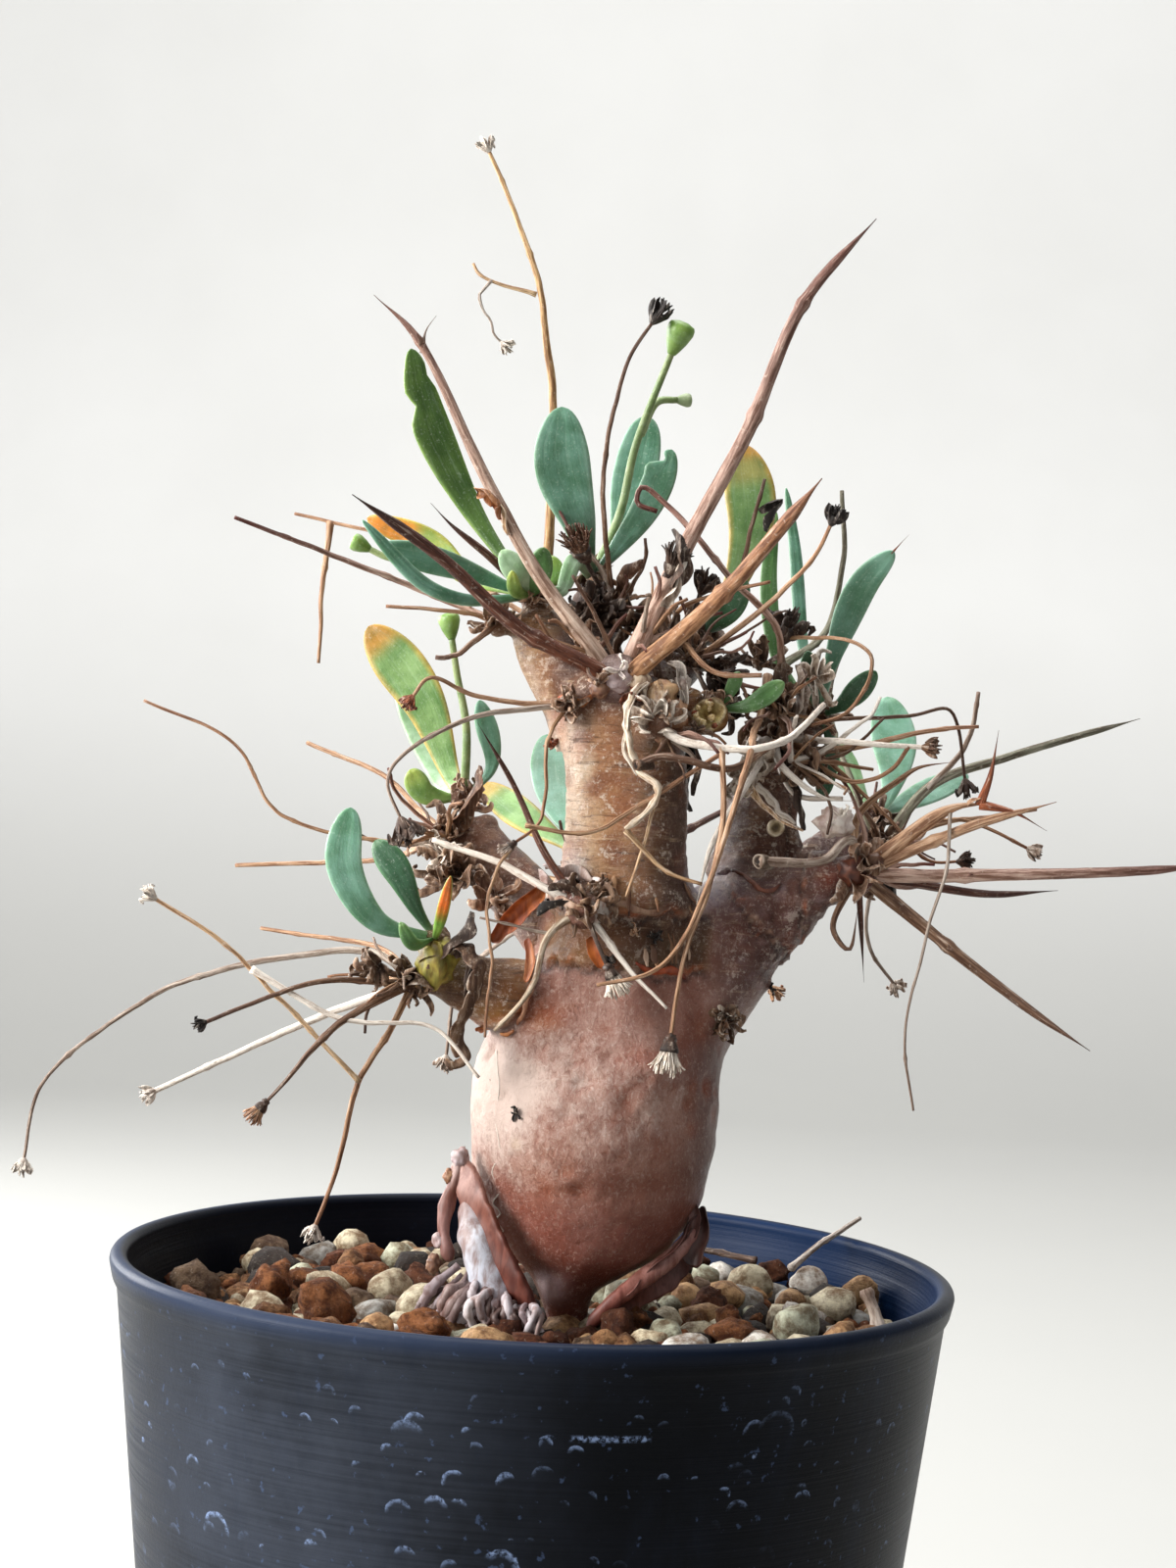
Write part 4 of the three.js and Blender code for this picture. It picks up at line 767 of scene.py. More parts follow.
def dead(route, foot, tip, look="brown", twist=1.6):
    """A withered leaf: a crumpled curling strip that twists as it goes"""
    def grow(shape, draw):
        centres, _, t = even(route, 0.35)
        seed = 50 * draw.random()
        centres = centres + wander(centres, 0.4, seed, (1, 5, 9)) * 0.7 * np.sin(math.pi * t)[:, None]
        _, normals, across = carried(centres, (0, -1, 0.2))
        turn = (0.5 + twist * t + 0.9 * ripple(centres, 0.2, seed))[:, None]
        ups = normals * np.cos(turn) + across * np.sin(turn)
        half = (foot + (tip - foot) * t) / 2 * (0.85 + 0.35 * ripple(centres, 0.5, seed + 3))
        half = half * np.sqrt(np.clip(np.minimum((1.02 - t) / 0.2, (t + 0.04) / 0.1), 0.08, 1))
        base = dry_tint(look, t, draw, 0.2)
        blade(shape, centres, ups, half, half * 0.8, 0.3, "dry", lambda s: edged(base, t, s, 0.75, 0.7, 0.3),
              cup=1.3, crumple=0.13 * max(foot, tip), rough=0.8, seed=seed, across=11)
    return grow


def spoon(t, foot, belly):
    """Half width of a spoon-shaped leaf as a share of its widest"""
    rise = foot + (1 - foot) * np.sin(np.clip(t / belly, 0, 1) * math.pi / 2) ** 2.3
    fall = np.sqrt(np.clip(1 - ((t - belly) / (1 - belly)) ** 2, 0, 1))
    return np.where(t < belly, rise, fall)


def leaf(route, width, look="green", form="round", turn=0.0, cup=0.12, spine=0.0):
    """A fleshy leaf. form is round, narrow, notch or heart; turn is how far it faces away from the front"""
    def grow(shape, draw):
        stops = 1 - (1 - np.linspace(0, 1, 34)) ** 1.35
        centres, run, t = even(route, 0, stops)
        share = spoon(t, 0.5, 0.62) if form == "narrow" else spoon(t, 0.24, 0.72)
        left, right = share, share
        if form == "notch":
            left = left * (1 - 0.55 * peak(t, 0.8, 0.035))
            right = right * (1 - 0.25 * peak(t, 0.9, 0.03))
        if form == "heart":
            left = left * (1 - 0.8 * peak(t, 0.93, 0.03)) + 0.2 * peak(t, 0.86, 0.04)
        wobble = 1 + 0.05 * np.sin(9 * t + 6 * draw.random())
        left, right = [np.maximum(side * wobble * width / 2, 0.12) for side in (left, right)]
        tangents = unit(np.gradient(centres, axis=0))
        sides = np.cross(tangents, FRONT)
        sides = unit(np.where(np.linalg.norm(sides, axis=1, keepdims=True) < 0.1, (1.0, 0, 0), sides))
        angle = math.radians(turn) * smooth(0, 0.3, t)[:, None]
        ups = np.cross(sides, tangents) * np.cos(angle) + sides * np.sin(angle)
        body, tip, start, edge, bloom = LEAVES[look]
        body, tip, edge = [hue(c) * (1 + 0.12 * (draw.random() - 0.5)) for c in (body, tip, edge)]

        def tint(s):
            spots = ripple(np.repeat(centres, len(s), axis=0), 0.35, 7).reshape(len(t), len(s))
            ending = smooth(start, min(start + 0.3, 1.0), t[:, None] + 0.12 * spots)[..., None]
            margin = smooth(0.72, 1.0, np.abs(s))[None, :, None] * 0.8
            foot = (1 - smooth(0, 0.25, t))[:, None, None] * 0.5
            colour = body
            for over, much in ((tip, ending), (edge, margin), (hue("#b5c79a"), foot)):
                colour = colour * (1 - much) + over * much
            return np.concatenate([colour, np.full((*colour.shape[:2], 1), bloom)], axis=-1)

        def grain(s):
            return np.stack(np.broadcast_arrays(s[None] * width, run[:, None], 0.0), axis=-1)

        depth = (1.4 * (1 - t) + 0.85 * t) * np.sqrt(np.clip((1.0 - t) / 0.05, 0.15, 1))
        blade(shape, centres, ups, left, right, depth, "leaf", tint, cup, 0.1, grain=grain, across=13)
        if spine:
            end = unit(centres[-1] - centres[-4])
            point = [centres[-1] + end * far for far in (-0.6, spine * 0.5, spine)]
            thorn(point, 0.8, 0.2, "rust")(shape, draw)
    return grow


def bud(route, size, tone="#7c9a4a"):
    """A green flower stalk with its closed bud"""
    def grow(shape, draw):
        centres, run, t = even(route, 0.6)
        tint = dry_tint("green", t, draw)
        tint[:, 3] = 0.1
        round_tube(shape, centres, run, (1.25 - 0.4 * t) / 2, SIDES["bud_stalk"], "leaf", tint, 0.06, 3)
        away = unit(centres[-1] - centres[-3])
        levels = np.linspace(0, 1, 14)
        middles = centres[-1] + np.outer(levels * 1.25 - 0.15, away) * size
        swell = np.interp(levels, [0, 0.15, 0.4, 0.7, 0.9, 0.97, 1], [0.3, 0.5, 0.78, 1, 0.96, 0.7, 0.35])
        colour = np.repeat([[*hue(tone), 0.15]], len(levels), axis=0)
        colour[:, :3] *= (0.8 + 0.5 * levels)[:, None]
        round_tube(shape, middles, levels * size, swell * size / 2, SIDES["bud"], "leaf", colour, 0.12, 5)
    return grow


# Growing points: where each spray or shoot stands, its size, its pieces and its withered leaves
POINTS = {}


def growing_point(root, size, husks="litter"):
    def keep(pieces):
        POINTS[pieces.__name__] = (root, size, pieces(root), husks)
        return pieces
    return keep


# Dry sprays: each gives what grows from its growing point
@growing_point([7, -9.8, 163.4], 6.4, None)
def crown_thorns(root):
    deep = [7, -6.6, 160.8]
    return [
        thorn([deep, [8, -8.8, 164.6], [14, -7.5, 179], [21, -8, 194], [27, -10, 210], [35, -12, 220]],
            2.7, 1.1, "pink", (0.58, 0.8)),
        thorn([deep, [4.8, -9.4, 164.6], [-4, -9, 175.5], [-10.5, -8, 186], [-20.5, -5, 204],
            [-26, -4, 209]], 2.3, 0.8, "ash", (0.86,)),
        thorn([[-19.5, -5, 202], [-19.3, -5, 204.5], [-18, -6, 206.5]], 1, 0.5, "grey"),
        thorn([[8.4, -6.4, 161], [5, -11, 163.2], [-5.5, -16, 168], [-15, -22, 175.5], [-25, -30, 181.5]],
            2.2, 1.2, "red", (0.35,)),
        thorn([[6.4, -6.8, 160.6], [9.4, -12, 164.4], [14.5, -18, 169], [21, -30, 176],
            [27.5, -44, 184.5]], 2.6, 1.4, "orange", (0.5,)),
        head([12.8, -8.6, 177.5], 4.2, (0.3, -0.2, 1), "dark", 0.3),
        dead([[12.4, -9.4, 174.5], [13.6, -10, 178], [12.4, -9.6, 181.4]], 3, 1.6, "dark", 1.2),
        dead([[12.0, -9, 172], [13.2, -10, 175], [14.0, -9.2, 179]], 2, 1.2, "paper"),
        stalk([root, [3, -9.5, 171], [0.5, -11, 175]], 0.7, 0.4, "brown"),
        dead([[-11.4, -9.8, 184.6], [-10, -10.8, 185], [-9.2, -10.4, 183.2], [-8.6, -10, 181.4]],
            2.0, 1.4, "scrap"),
        dead([[-9.4, -9.6, 184], [-8.2, -9.8, 182], [-7.6, -9.4, 179.6]], 1.1, 0.7, "cream", 0.8),
        knob([6.6, -10.6, 162.6], [4.2, 3.4, 2.6]), knob([4.6, -11, 161.4], [2.6, 2.2, 2.4], "husk"),
        knob([9.4, -11.2, 162.4], [2.8, 2.6, 3.2], "bone"), tuft([6.8, -11.6, 163.6], 3.6, "wax", count=10),
        tuft([4.4, -11.8, 162], 3.4, "husk", count=10), tuft([8.6, -11.8, 161], 3.4, "rust", count=8),
        wires([9, -8, 167], 14, 7, (0.5, -0.6, 0.8)), wires([4, -8, 166], 12, 5, (-0.5, -0.6, 0.8)),
    ]


@growing_point([11.5, -11.6, 157.5], 5, "paper")
def stub_stalks(root):
    return [
        stalk([root, [15, -14, 155.5], [23, -16, 155], [27.5, -14, 156.5], [32, -9, 161]],
            1.1, 0.7, "white"),
        stalk([root, [10.2, -12.8, 162], [9.2, -13.8, 161], [7.9, -14, 158], [8, -14.2, 154.4],
            [9.4, -14.6, 151.6], [11.9, -15, 149.6], [11, -15.2, 147], [8.5, -15, 144.6]],
            0.85, 0.65, "bone", wave=0.7, scales=18),
        dead([[10.4, -12.6, 162.4], [8.7, -13.8, 160.4], [7.8, -14.2, 157], [8.2, -14.2, 153.6],
            [9.6, -14.8, 151.2]], 0.9, 0.6, "bone", 0.8),
        dead([[11, -10.6, 158], [10.4, -12, 160.6], [12, -12, 162.6], [13.4, -10.8, 161.6]],
            3.4, 3.0, "cream", 1.4),
        dead([[13, -9.6, 158.6], [14.4, -11, 161], [14.2, -11, 164.2], [12.6, -10.4, 165]],
            1.6, 1.8, "silver", 1.0),
        dead([[14.6, -9.8, 163.6], [14.9, -10.6, 160.6], [14.2, -10.4, 157.4]], 1.5, 1.1, "paper", 1.2),
        knob([12.2, -11.4, 161.4], [3.4, 2.8, 3.2], "cream", 1.5),
        knob([11, -11.8, 158.6], [2.8, 2.2, 3.2], "bone", 1.8),
        knob([13.8, -11, 159], [3, 2.4, 3.6], "peach", 1.6),
        knob([12.4, -11.6, 156.6], [2.6, 2, 2.6], "husk", 1.8),
        knob([14.6, -10.6, 162.6], [2, 2, 2.4], "silver", 2),
        cut_face([18.0, -8.9, 159.1], [-0.35, -1, 0.2], 2.0, FRESH, 20),
        stalk([[8.5, -15, 144.5], [13.5, -15, 140], [18, -15, 138.5]], 0.6, 0.45, "cream"),
        stalk([[12, -15, 149], [10, -14.5, 140.5], [9, -14.5, 136.5]], 0.5, 0.4, "cream"),
        stalk([[-3.5, -18, 144.5], [4, -17, 144], [12, -15, 149], [20.5, -15.6, 155]], 0.5, 0.6),
        stalk([[25.5, -1, 164.5], [24.6, -4, 159.5], [23.4, -11, 156.5], [23, -16, 155], [20.5, -18, 145],
            [16, -18, 132], [12.5, -19, 128], [6, -18.5, 126]], 1, 0.5, "peach"),
        stalk([[19.5, -15.4, 155], [20, -16, 145], [16, -18, 128.5], [15, -19, 119.5]],
            0.8, 0.5, "peach", 4.4, "bristle", 0.3),
        stalk([[26.6, -4, 156], [20, -15, 152.6], [12, -17, 153.4], [9.4, -17.4, 152.4]],
            0.9, 0.9, "brown"),
        cut_face([9.4, -17.5, 152.4], [-1, -0.6, 0], 0.62, DARK),
        wires([13, -10, 156], 10, 6, (0.6, -0.9, -0.2)),
    ]


@growing_point([0.8, -8.8, 159.4], 4, "husk")
def crown_curls(root):
    return [
        stalk([root, [-1, -12, 155], [-1.5, -12, 146], [-5, -13, 142]],
            0.55, 0.4, "tan", 2.3, "grey", 0.3, 0.4),
        stalk([[-5, -13, 142], [-7, -16, 138], [-7, -18, 130.5], [-7, -17, 119]], 0.45, 0.35, wave=0.4),
        stalk([root, [-10, -12, 159.5], [-16, -15, 161.5], [-18, -15, 159]],
            0.75, 0.45, "peach", 2.4, "rust"),
        stalk([root, [-12, -15, 156.5], [-20, -19, 149.5], [-18, -19, 144]],
            0.8, 0.4, "grey", 4.2, "dark", 0.9),
    ]


@growing_point([4, -12.4, 134.6], 5.4)
def collar_stalks(root):
    return [
        thorn([root, [-1, -10.5, 141], [-5.5, -9, 149.5], [-10, -13, 156.5]], 1.1, 0.5, "red"),
        knob([5.6, -13, 134.6], [3.4, 2.4, 3], "silver", 2.2),
        knob([3.2, -12.8, 135.4], [2.4, 2, 2], lumps=2.4),
        dead([[3.4, -12.8, 134.6], [1, -13.2, 134.8], [-1.6, -12.6, 133.6]], 2.6, 1.4, "black", 1.4),
        dead([[4, -12.8, 135.4], [2, -13.2, 137], [-0.4, -12.4, 136.8]], 2.2, 1.4, "dark", 1.2),
        stalk([root, [-6.5, -9.5, 139.5], [-15, -8, 142]], 1.2, 0.6, "white"),
        stalk([root, [8.5, -14.5, 129.5], [14.5, -16.5, 123.5]], 1.0, 0.35, "white"),
        stalk([root, [0, -14, 131.5], [-2, -15, 124.5], [-6, -13, 119.5]], 1.1, 0.5, "bone"),
        stalk([[0.5, -13.6, 131.5], [-8.5, -13, 133]], 0.45, 0.3, "grey"),
        thorn([root, [1.5, -14, 138.5]], 1.2, 0.9, "grey"),
        stalk([root, [6, -15, 130.5], [7.5, -15.5, 127.5]], 0.6, 0.5, "dark", 3.8, "bristle", 0.3),
    ]


@growing_point([-16.4, -8, 124.4], 5)
def left_arm_stalks(root):
    return [
        stalk([root, [-22, -3, 127.5], [-46.5, 0, 122], [-63, 2, 108.5], [-65, 2, 98.5]],
            1, 0.4, "grey", 2.7, "silver", scales=4),
        stalk([root, [-20.5, 0, 127.5], [-37.5, 10, 129]], 0.8, 0.5, "peach"),
        stalk([root, [-29, -15, 124], [-40.5, -17, 119]], 0.8, 0.5, "brown", 2.1, "black"),
        stalk([root, [-28.5, -5, 119], [-48, -5, 109]], 1.2, 0.7, "white", 2.7, "silver"),
        stalk([root, [-24, -15, 120], [-30.5, -17, 112.5], [-33, -17, 109.5]],
            1.3, 0.4, "brown", 3, "tan", 0.3),
        stalk([root, [-19, -12, 118], [-22, -13, 112.5], [-24, -13, 102], [-26.5, -13, 94.5]],
            0.9, 0.5, "tan", 2.8, "silver"),
        stalk([[-22, -13, 112.5], [-39, -15, 128.5], [-47.5, -16, 133.5]],
            0.6, 0.5, "cream", 2.6, "silver", scales=4),
        stalk([[-35.5, -15, 125.5], [-24, -15, 120], [-13.5, -14, 119.5], [-7.5, -15.5, 114]],
            0.75, 0.4, "white"),
        dead([root, [-10.6, -11, 129.6], [-8.2, -12.2, 128.4], [-7.8, -12.6, 124.8], [-9.2, -12.9, 120.6],
            [-9.8, -13, 118], [-8.9, -13, 116], [-10.6, -13.3, 114.6], [-12, -13, 115.4]],
            2.6, 2.6, "litter", 1.2),
        dead([[-10, -10.6, 129.4], [-9.4, -12.3, 126.4], [-9.4, -12.8, 122.4]], 1.4, 1.0, "dark", 0.8),
        tuft([-20.6, -10.4, 126.4], 5.4, away=(-0.7, -0.5, 0), count=16),
        dead([root, [-13, -10.6, 128.6], [-10.6, -11.6, 131], [-9.6, -11.4, 133.6]], 2.2, 2.4, "dark", 1.0),
        wires([-17, -9, 125], 14, 7, (-0.8, -0.6, -0.1)),
    ]


@growing_point([-14.8, 11.4, 142.4], 4.8)
def left_back_stalks(root):
    return [
        stalk([root, [-20, 8, 141], [-35.5, 6, 144], [-41.5, 6, 152.5], [-53.5, 6, 157.5]],
            0.55, 0.4, scales=4),
        stalk([root, [-18.5, 24, 145], [-24.5, 30, 149.5], [-35.5, 36, 153.5]], 0.9, 0.6, "peach"),
        stalk([root, [-22.5, 28, 138.5], [-44.5, 36, 136]], 0.9, 0.6, "peach"),
        dead([root, [-11.5, 9.2, 147], [-10.5, 9.5, 151.5]], 3.3, 1.5),
        tuft([-12.6, 6.6, 137.4], 8, away=(-0.2, -0.8, 0.4), count=20),
        tuft([-7.4, 4.4, 134.6], 6.6, "husk"), tuft([-14, 8, 140], 6, "paper", (-0.5, -0.6, 0.4), 10),
        wires([-14, 10, 142], 16, 8, (-0.8, -0.5, 0.3)),
    ]


@growing_point([-8.6, -0.6, 169.4], 4.6, "husk")
def top_left_stalks(root):
    return [
        stalk([root, [-18.5, 0, 173], [-29.5, -4, 176.5], [-41, -10, 180]], 0.95, 0.5, "pink", scales=3),
        stalk([root, [-13, -3, 170.5], [-22.5, -4, 170.5]], 0.6, 0.45),
        stalk([root, [-10.5, -4, 167.5], [-13, -4, 165], [-16, -4, 164.5]], 0.8, 0.6, "brown", wave=0.7),
    ]


@growing_point([-3.4, 7.2, 170], 5.4)
def top_back_stalks(root):
    return [
        stalk([root, [-3.2, 14, 180], [-3.5, 16, 198.5], [-6.5, 18, 215.5], [-11, 20, 227.5],
            [-14, 21, 233.5]], 1.6, 0.5, "gold", 2.8, "silver", 0.9, scales=3),
        stalk([[-6.5, 18, 214], [-14, 17, 216], [-15, 17, 217.5]], 0.6, 0.4, "cream"),
        stalk([[-12.5, 17.2, 215.4], [-14.5, 16, 213], [-12.5, 16, 209], [-10.5, 16, 207]],
            0.4, 0.35, "silver", 2.3, wave=0.5),
        stalk([root, [-23.5, 19, 181], [-32.5, 22, 183], [-37.5, 24, 184]], 0.7, 0.45, "peach"),
        stalk([[-32.5, 22, 183], [-33, 21, 172.5], [-33, 21, 164]], 0.9, 0.45, "peach"),
    ]


@growing_point([5.8, 5.2, 173], 4.6)
def top_stalks(root):
    return [
        stalk([root, [5, -1, 176.5], [4, -3.5, 183], [3.6, -3, 190.5], [6, -1, 203], [9, 0, 208.5]],
            0.8, 0.45, "brown", 3.9, "black", 0.5),
        stalk([root, [3.5, -3, 175], [1.6, -6.4, 178]], 0.7, 0.6, "dark", 4.8, "brown", 0.25),
        dead([root, [6.5, 0, 177], [9, -2, 178]], 3.2, 2.2),
        tuft([3.6, -1, 170.6], 8, "dark", (0, -0.8, 0.4), 18),
        tuft([8.6, 0, 170], 7, away=(0.2, -0.7, 0.5), count=16),
        tuft([3, -5, 167.4], 5, "husk", (0, -1, 0.4), 10), wires([5, 1, 171], 14, 9, (0, -0.8, 0.7)),
    ]


@growing_point([16, 1, 166], 5)
def top_right_stalks(root):
    return [
        stalk([root, [20, -2, 169], [29.5, -12, 178.5], [31.5, -13, 183]],
            0.85, 0.5, "peach", 3.1, "black", 0.5),
        stalk([root, [15, -6, 167.5], [18.5, -12, 164], [24, -13, 164]], 0.85, 0.55),
        stalk([root, [13.5, -4, 171.5], [19, -9, 174], [24.5, -11, 175.5]], 0.7, 0.45),
        stalk([root, [15.5, -4, 171], [16.5, -6, 174.5]], 0.7, 0.5, "dark", 4, "dark", 0.7),
        dead([root, [11, 0, 168.5], [8, 0.5, 169.5]], 3.4, 2),
        dead([[14.4, 0.4, 160], [16.8, 1.2, 155], [16, 0.8, 150.6], [16.8, 1, 147]],
            2.4, 1.4, "black", 1.4),
        dead([[14.8, 1, 158], [17.6, 1.6, 153.6], [17, 1.4, 149]], 1.6, 1.0, "dark", 1.8),
        tuft([12, -3, 167.4], 7, away=(-0.2, -0.8, 0.6), count=16),
        tuft([19, -2, 164.6], 7, "dark", (0.3, -0.9, 0.2), 16),
        wires([16, 0, 166], 15, 10, (0.3, -0.8, 0.5)),
    ]


@growing_point([27, 5.4, 157], 6)
def right_top_stalks(root):
    return [
        thorn([root, [27.5, 4, 163.5], [27, 1, 170]], 2.5, 1.9, "brown"),
        head([27.8, 0, 171.2], 5.6, (0.3, -0.3, 1), "dark", 0.8),
        stalk([[27.5, 4, 165], [26, -3, 170.5], [19.5, -6, 176.5], [12, -4, 184.5], [8.5, -4, 187],
            [8, -4, 185], [10.5, -4, 184]], 1, 0.6, "pink"),
        stalk([[21, -5.4, 175.5], [22, -6, 181.5], [23.5, -6, 188.5]], 0.7, 0.45, "brown"),
        dead([[23, -6, 184.5], [25.5, -6, 186], [24, -6, 182]], 1.8, 1.4, "black"),
        stalk([[27, 1, 169.5], [34.5, -8, 169], [37.5, -10, 167], [35, -8, 160.5], [31, -5, 158.5]],
            0.55, 0.45),
        stalk([[27.4, 3, 166], [34, 12, 172], [35.5, 14, 181], [35, 16, 190]], 1.1, 0.6, "olive"),
        stalk([root, [36, -5, 156.5], [45, -6, 156.5]], 1.1, 0.6, "white", 2.9, "brown"),
        stalk([root, [33, 1, 155.5], [47.5, 0, 159], [52, -2, 159.5]], 1.2, 0.45),
        stalk([root, [36.5, -3, 152], [41, -5, 153.5], [43, -6, 156.5]], 0.7, 0.5),
        stalk([root, [29.5, -1, 150], [35.5, -2.6, 149.6]], 0.8, 0.6, "white"),
        stalk([root, [34, -1, 159.5], [44.5, 3, 160.5], [49.5, 6, 161.5], [52, 7, 152.5]],
            0.6, 0.4, "brown", 3, "dark"),
        stalk([root, [32, 3.6, 155.5], [41.5, 3, 148], [47, 2, 142.5], [51, 1, 142.5]],
            0.6, 0.4, "tan", 2.7, "dark"),
        dead([root, [25.5, 0, 151.5], [22, -3, 149.5]], 5, 2.6, "paper"),
        tuft([23.6, -0.6, 152.4], 7, "paper", (-0.2, -1, -0.2)),
        tuft([27, -1, 161], 7, away=(0, -1, 0.4), count=18),
        tuft([31, 0, 154], 7, away=(0.4, -0.9, 0), count=18),
        tuft([21, 0, 160], 6, "dark", (-0.3, -0.8, 0.4)), wires([27, -1, 160], 15, 8, (0.2, -0.8, 0.5)),
        wires([29, -1, 154], 16, 8, (0.7, -0.6, -0.2), ("white", "tan", "peach", "brown")),
        thorn([root, [24, -6, 152], [19, -12, 143], [17.5, -14, 136]], 1.0, 0.6, "white"),
        thorn([root, [28, -4, 152.8], [33, -6, 149.6], [36.4, -7, 149.4]], 1.2, 0.6, "white"),
        knob([25.4, -1.6, 155.6], [3, 2.8, 2.4], "silver"),
        knob([34.6, -3.6, 146.6], [4.8, 3.4, 3.8], "white", 2.2),
        tuft([35, -4.6, 147.4], 2.6, "white", (0.3, -1, 0.3), 6),
        cut_face([27.4, -2.6, 145.6], [0.1, -1, 0.1], 1.0, IVORY),
        dead([[25, -2, 151], [27.2, -3.4, 148.6], [29.6, -4, 146.2]], 1.7, 0.7, "white", 0.7),
        dead([[24, -3, 150.4], [26.4, -4.4, 147.6], [30.6, -5, 145.4]], 1.3, 0.5, "cream", 0.5),
        tuft([31.5, 1, 164.5], 6, "paper", (0.2, -1, 0.2), 12),
        tuft([25, 4, 166], 6, away=(-0.3, -0.7, 0.6), count=12),
        dead([root, [30, -1, 151], [31, -3, 145.5]], 2.8, 1.2, "dark"),
        dead([root, [29.5, -1, 161.5], [29, -2, 166]], 3.6, 2.4, "grey"),
    ]


@growing_point([38, -1.4, 140.4], 6.4, "husk")
def right_thorns(root):
    return [
        thorn([root, [47, -1, 140.5], [60.5, -2, 141.5], [76.5, -2, 143], [82, -2, 144]],
            2.0, 1.0, "pink", (0.3,)),
        thorn([root, [48.5, -6, 149], [53, -7, 150]], 2.3, 1.5, "peach", (0.9,)),
        thorn([[52, -6.8, 149.8], [53, -8, 153.5], [53.5, -9, 159]], 1.1, 0.5, "rust"),
        thorn([[52, -6.8, 149.8], [56, -8, 149], [60, -9, 147]], 1.1, 0.5, "rust"),
        thorn([root, [57, -7, 126.5], [66.5, -10, 120.5]], 1.9, 0.9, "brown", (0.4,)),
        thorn([root, [38, 2.4, 147.5], [43, 1, 152.5], [45, 0, 154], [49.5, -1, 155]], 1.3, 0.5),
        stalk([[48.5, -6, 149], [48, -8, 141.5], [46, -9, 134], [44, -9, 120.5], [45.5, -9, 112]],
            0.45, 0.3, "grey", scales=4),
        stalk([[46.5, -5, 147.5], [52, -1, 147.5], [59.5, 0, 144.5]], 0.55, 0.4, "tan", 2.5, "grey"),
        thorn([root, [35, -4, 133.5], [37, -5, 131], [38, -4, 136.5]], 1.0, 0.5, "brown"),
        thorn([root, [39, 2, 134], [40, 4, 126.5]], 1, 0.4, "red"),
        stalk([root, [36.5, -5, 144.5], [33, -9, 142], [25, -12, 141.5]], 1.0, 1.3, "grey"),
        cut_face([24.9, -12, 141.5], [-1, -0.9, 0.1], 0.85, DULL),
        wires([39, -2, 141], 12, 4, (1, -0.3, 0.5), ("pink", "brown", "peach")),
        thorn([root, [44, -4, 143.6], [52, -7, 147.4], [61, -9, 150.6]], 1.8, 0.9, "peach", (0.4,)),
        thorn([root, [45, 0, 139.6], [55, 2, 138.6], [64, 4, 139.4]], 1.5, 0.7, "red"),
        knob([37.4, -3.4, 140.6], [3.8, 3, 4], "red", 2.2),
        knob([39.8, -3.4, 142], [2.4, 2.2, 2.2], "brown", 2),
        dead([root, [42.5, 6, 143], [44, 8, 136]], 2.6, 2.4, "black"),
    ]


@growing_point([43, 21, 143.4], 4.8)
def right_back_stalks(root):
    return [
        thorn([root, [50, 26, 152], [61, 31, 156.5], [80.5, 40, 163]], 1.6, 0.8, "olive"),
        stalk([[49, 25.4, 151], [54.5, 26, 158], [56, 28, 165]], 0.9, 0.6, "grey"),
        stalk([root, [50, 23, 146.5], [65, 30, 149.5]], 0.8, 0.45),
        stalk([root, [43.5, 34, 130], [48, 40, 124]], 0.7, 0.45, "grey", 2.7),
        stalk([root, [39.5, 19.5, 150], [36, 30, 163], [40, 42, 174.5]], 0.9, 0.5, "olive"),
        wires(root, 15, 8, (0.6, 0.4, 0.3)),
    ]


@growing_point([4.5, 31, 135.4], 5.4)
def back_stalks(root):
    return [
        thorn([root, [-10, 42, 138], [-22, 56, 146]], 1.6, 0.6, nodes=(0.5,)),
        thorn([root, [18, 46, 144], [34, 62, 152]], 1.5, 0.6, "red", (0.5,)),
        stalk([root, [-1, 50, 131], [-14, 66, 119.5], [-15.5, 68, 107.5]], 0.9, 0.5, "grey", 3.2, scales=4),
        stalk([root, [18.5, 48, 132.5], [32.5, 60, 121]], 0.9, 0.5, "tan", 2.9),
        stalk([root, [16, 34, 146], [17, 40, 160], [14, 50, 175]], 0.9, 0.5, "brown", 3.1),
        wires(root, 15, 10, (0, 0.8, 0.3)),
    ]


# Leafy shoots
@growing_point([-4.6, 1, 173], 4.8, "husk")
def shoot_top_left(root):
    return [
        leaf([root, [-13, 4, 184], [-19, 3, 195], [-21.5, 2, 203.5]], 4.7, "moss", "notch", 12),
        leaf([root, [-4, -4, 174.6], [-3.2, -6.4, 178.6]], 3.2),
        leaf([root, [-6.6, -6.4, 173.4], [-7, -8, 175.4]], 1.8, "lime"),
        leaf([root, [-13.5, -7, 175.5], [-23, -11, 177.5]], 3.6, "blue", turn=-25),
        leaf([root, [-13, 6, 175.5], [-18, 8, 179.5], [-26.5, 9, 182.5]], 3.8, "amber", turn=-20),
        leaf([root, [-13, -10, 171.5], [-17.5, -12, 173], [-25, -15, 180]], 1.8, "blue", "narrow"),
        leaf([root, [-6, -5, 175], [-8.5, -6, 178]], 3.1, "pale"),
        thorn([root, [-10, -3.5, 177.4], [-15, -5.5, 181], [-17.5, -6, 183.4]], 1.5, 0.6, "red"),
        leaf([root, [-2.5, 3, 175.5], [-2.5, 3.5, 178.5]], 3, "lime"),
        bud([root, [-15.5, 12, 177], [-24, 14, 178], [-26.5, 14, 179]], 2.3),
    ]


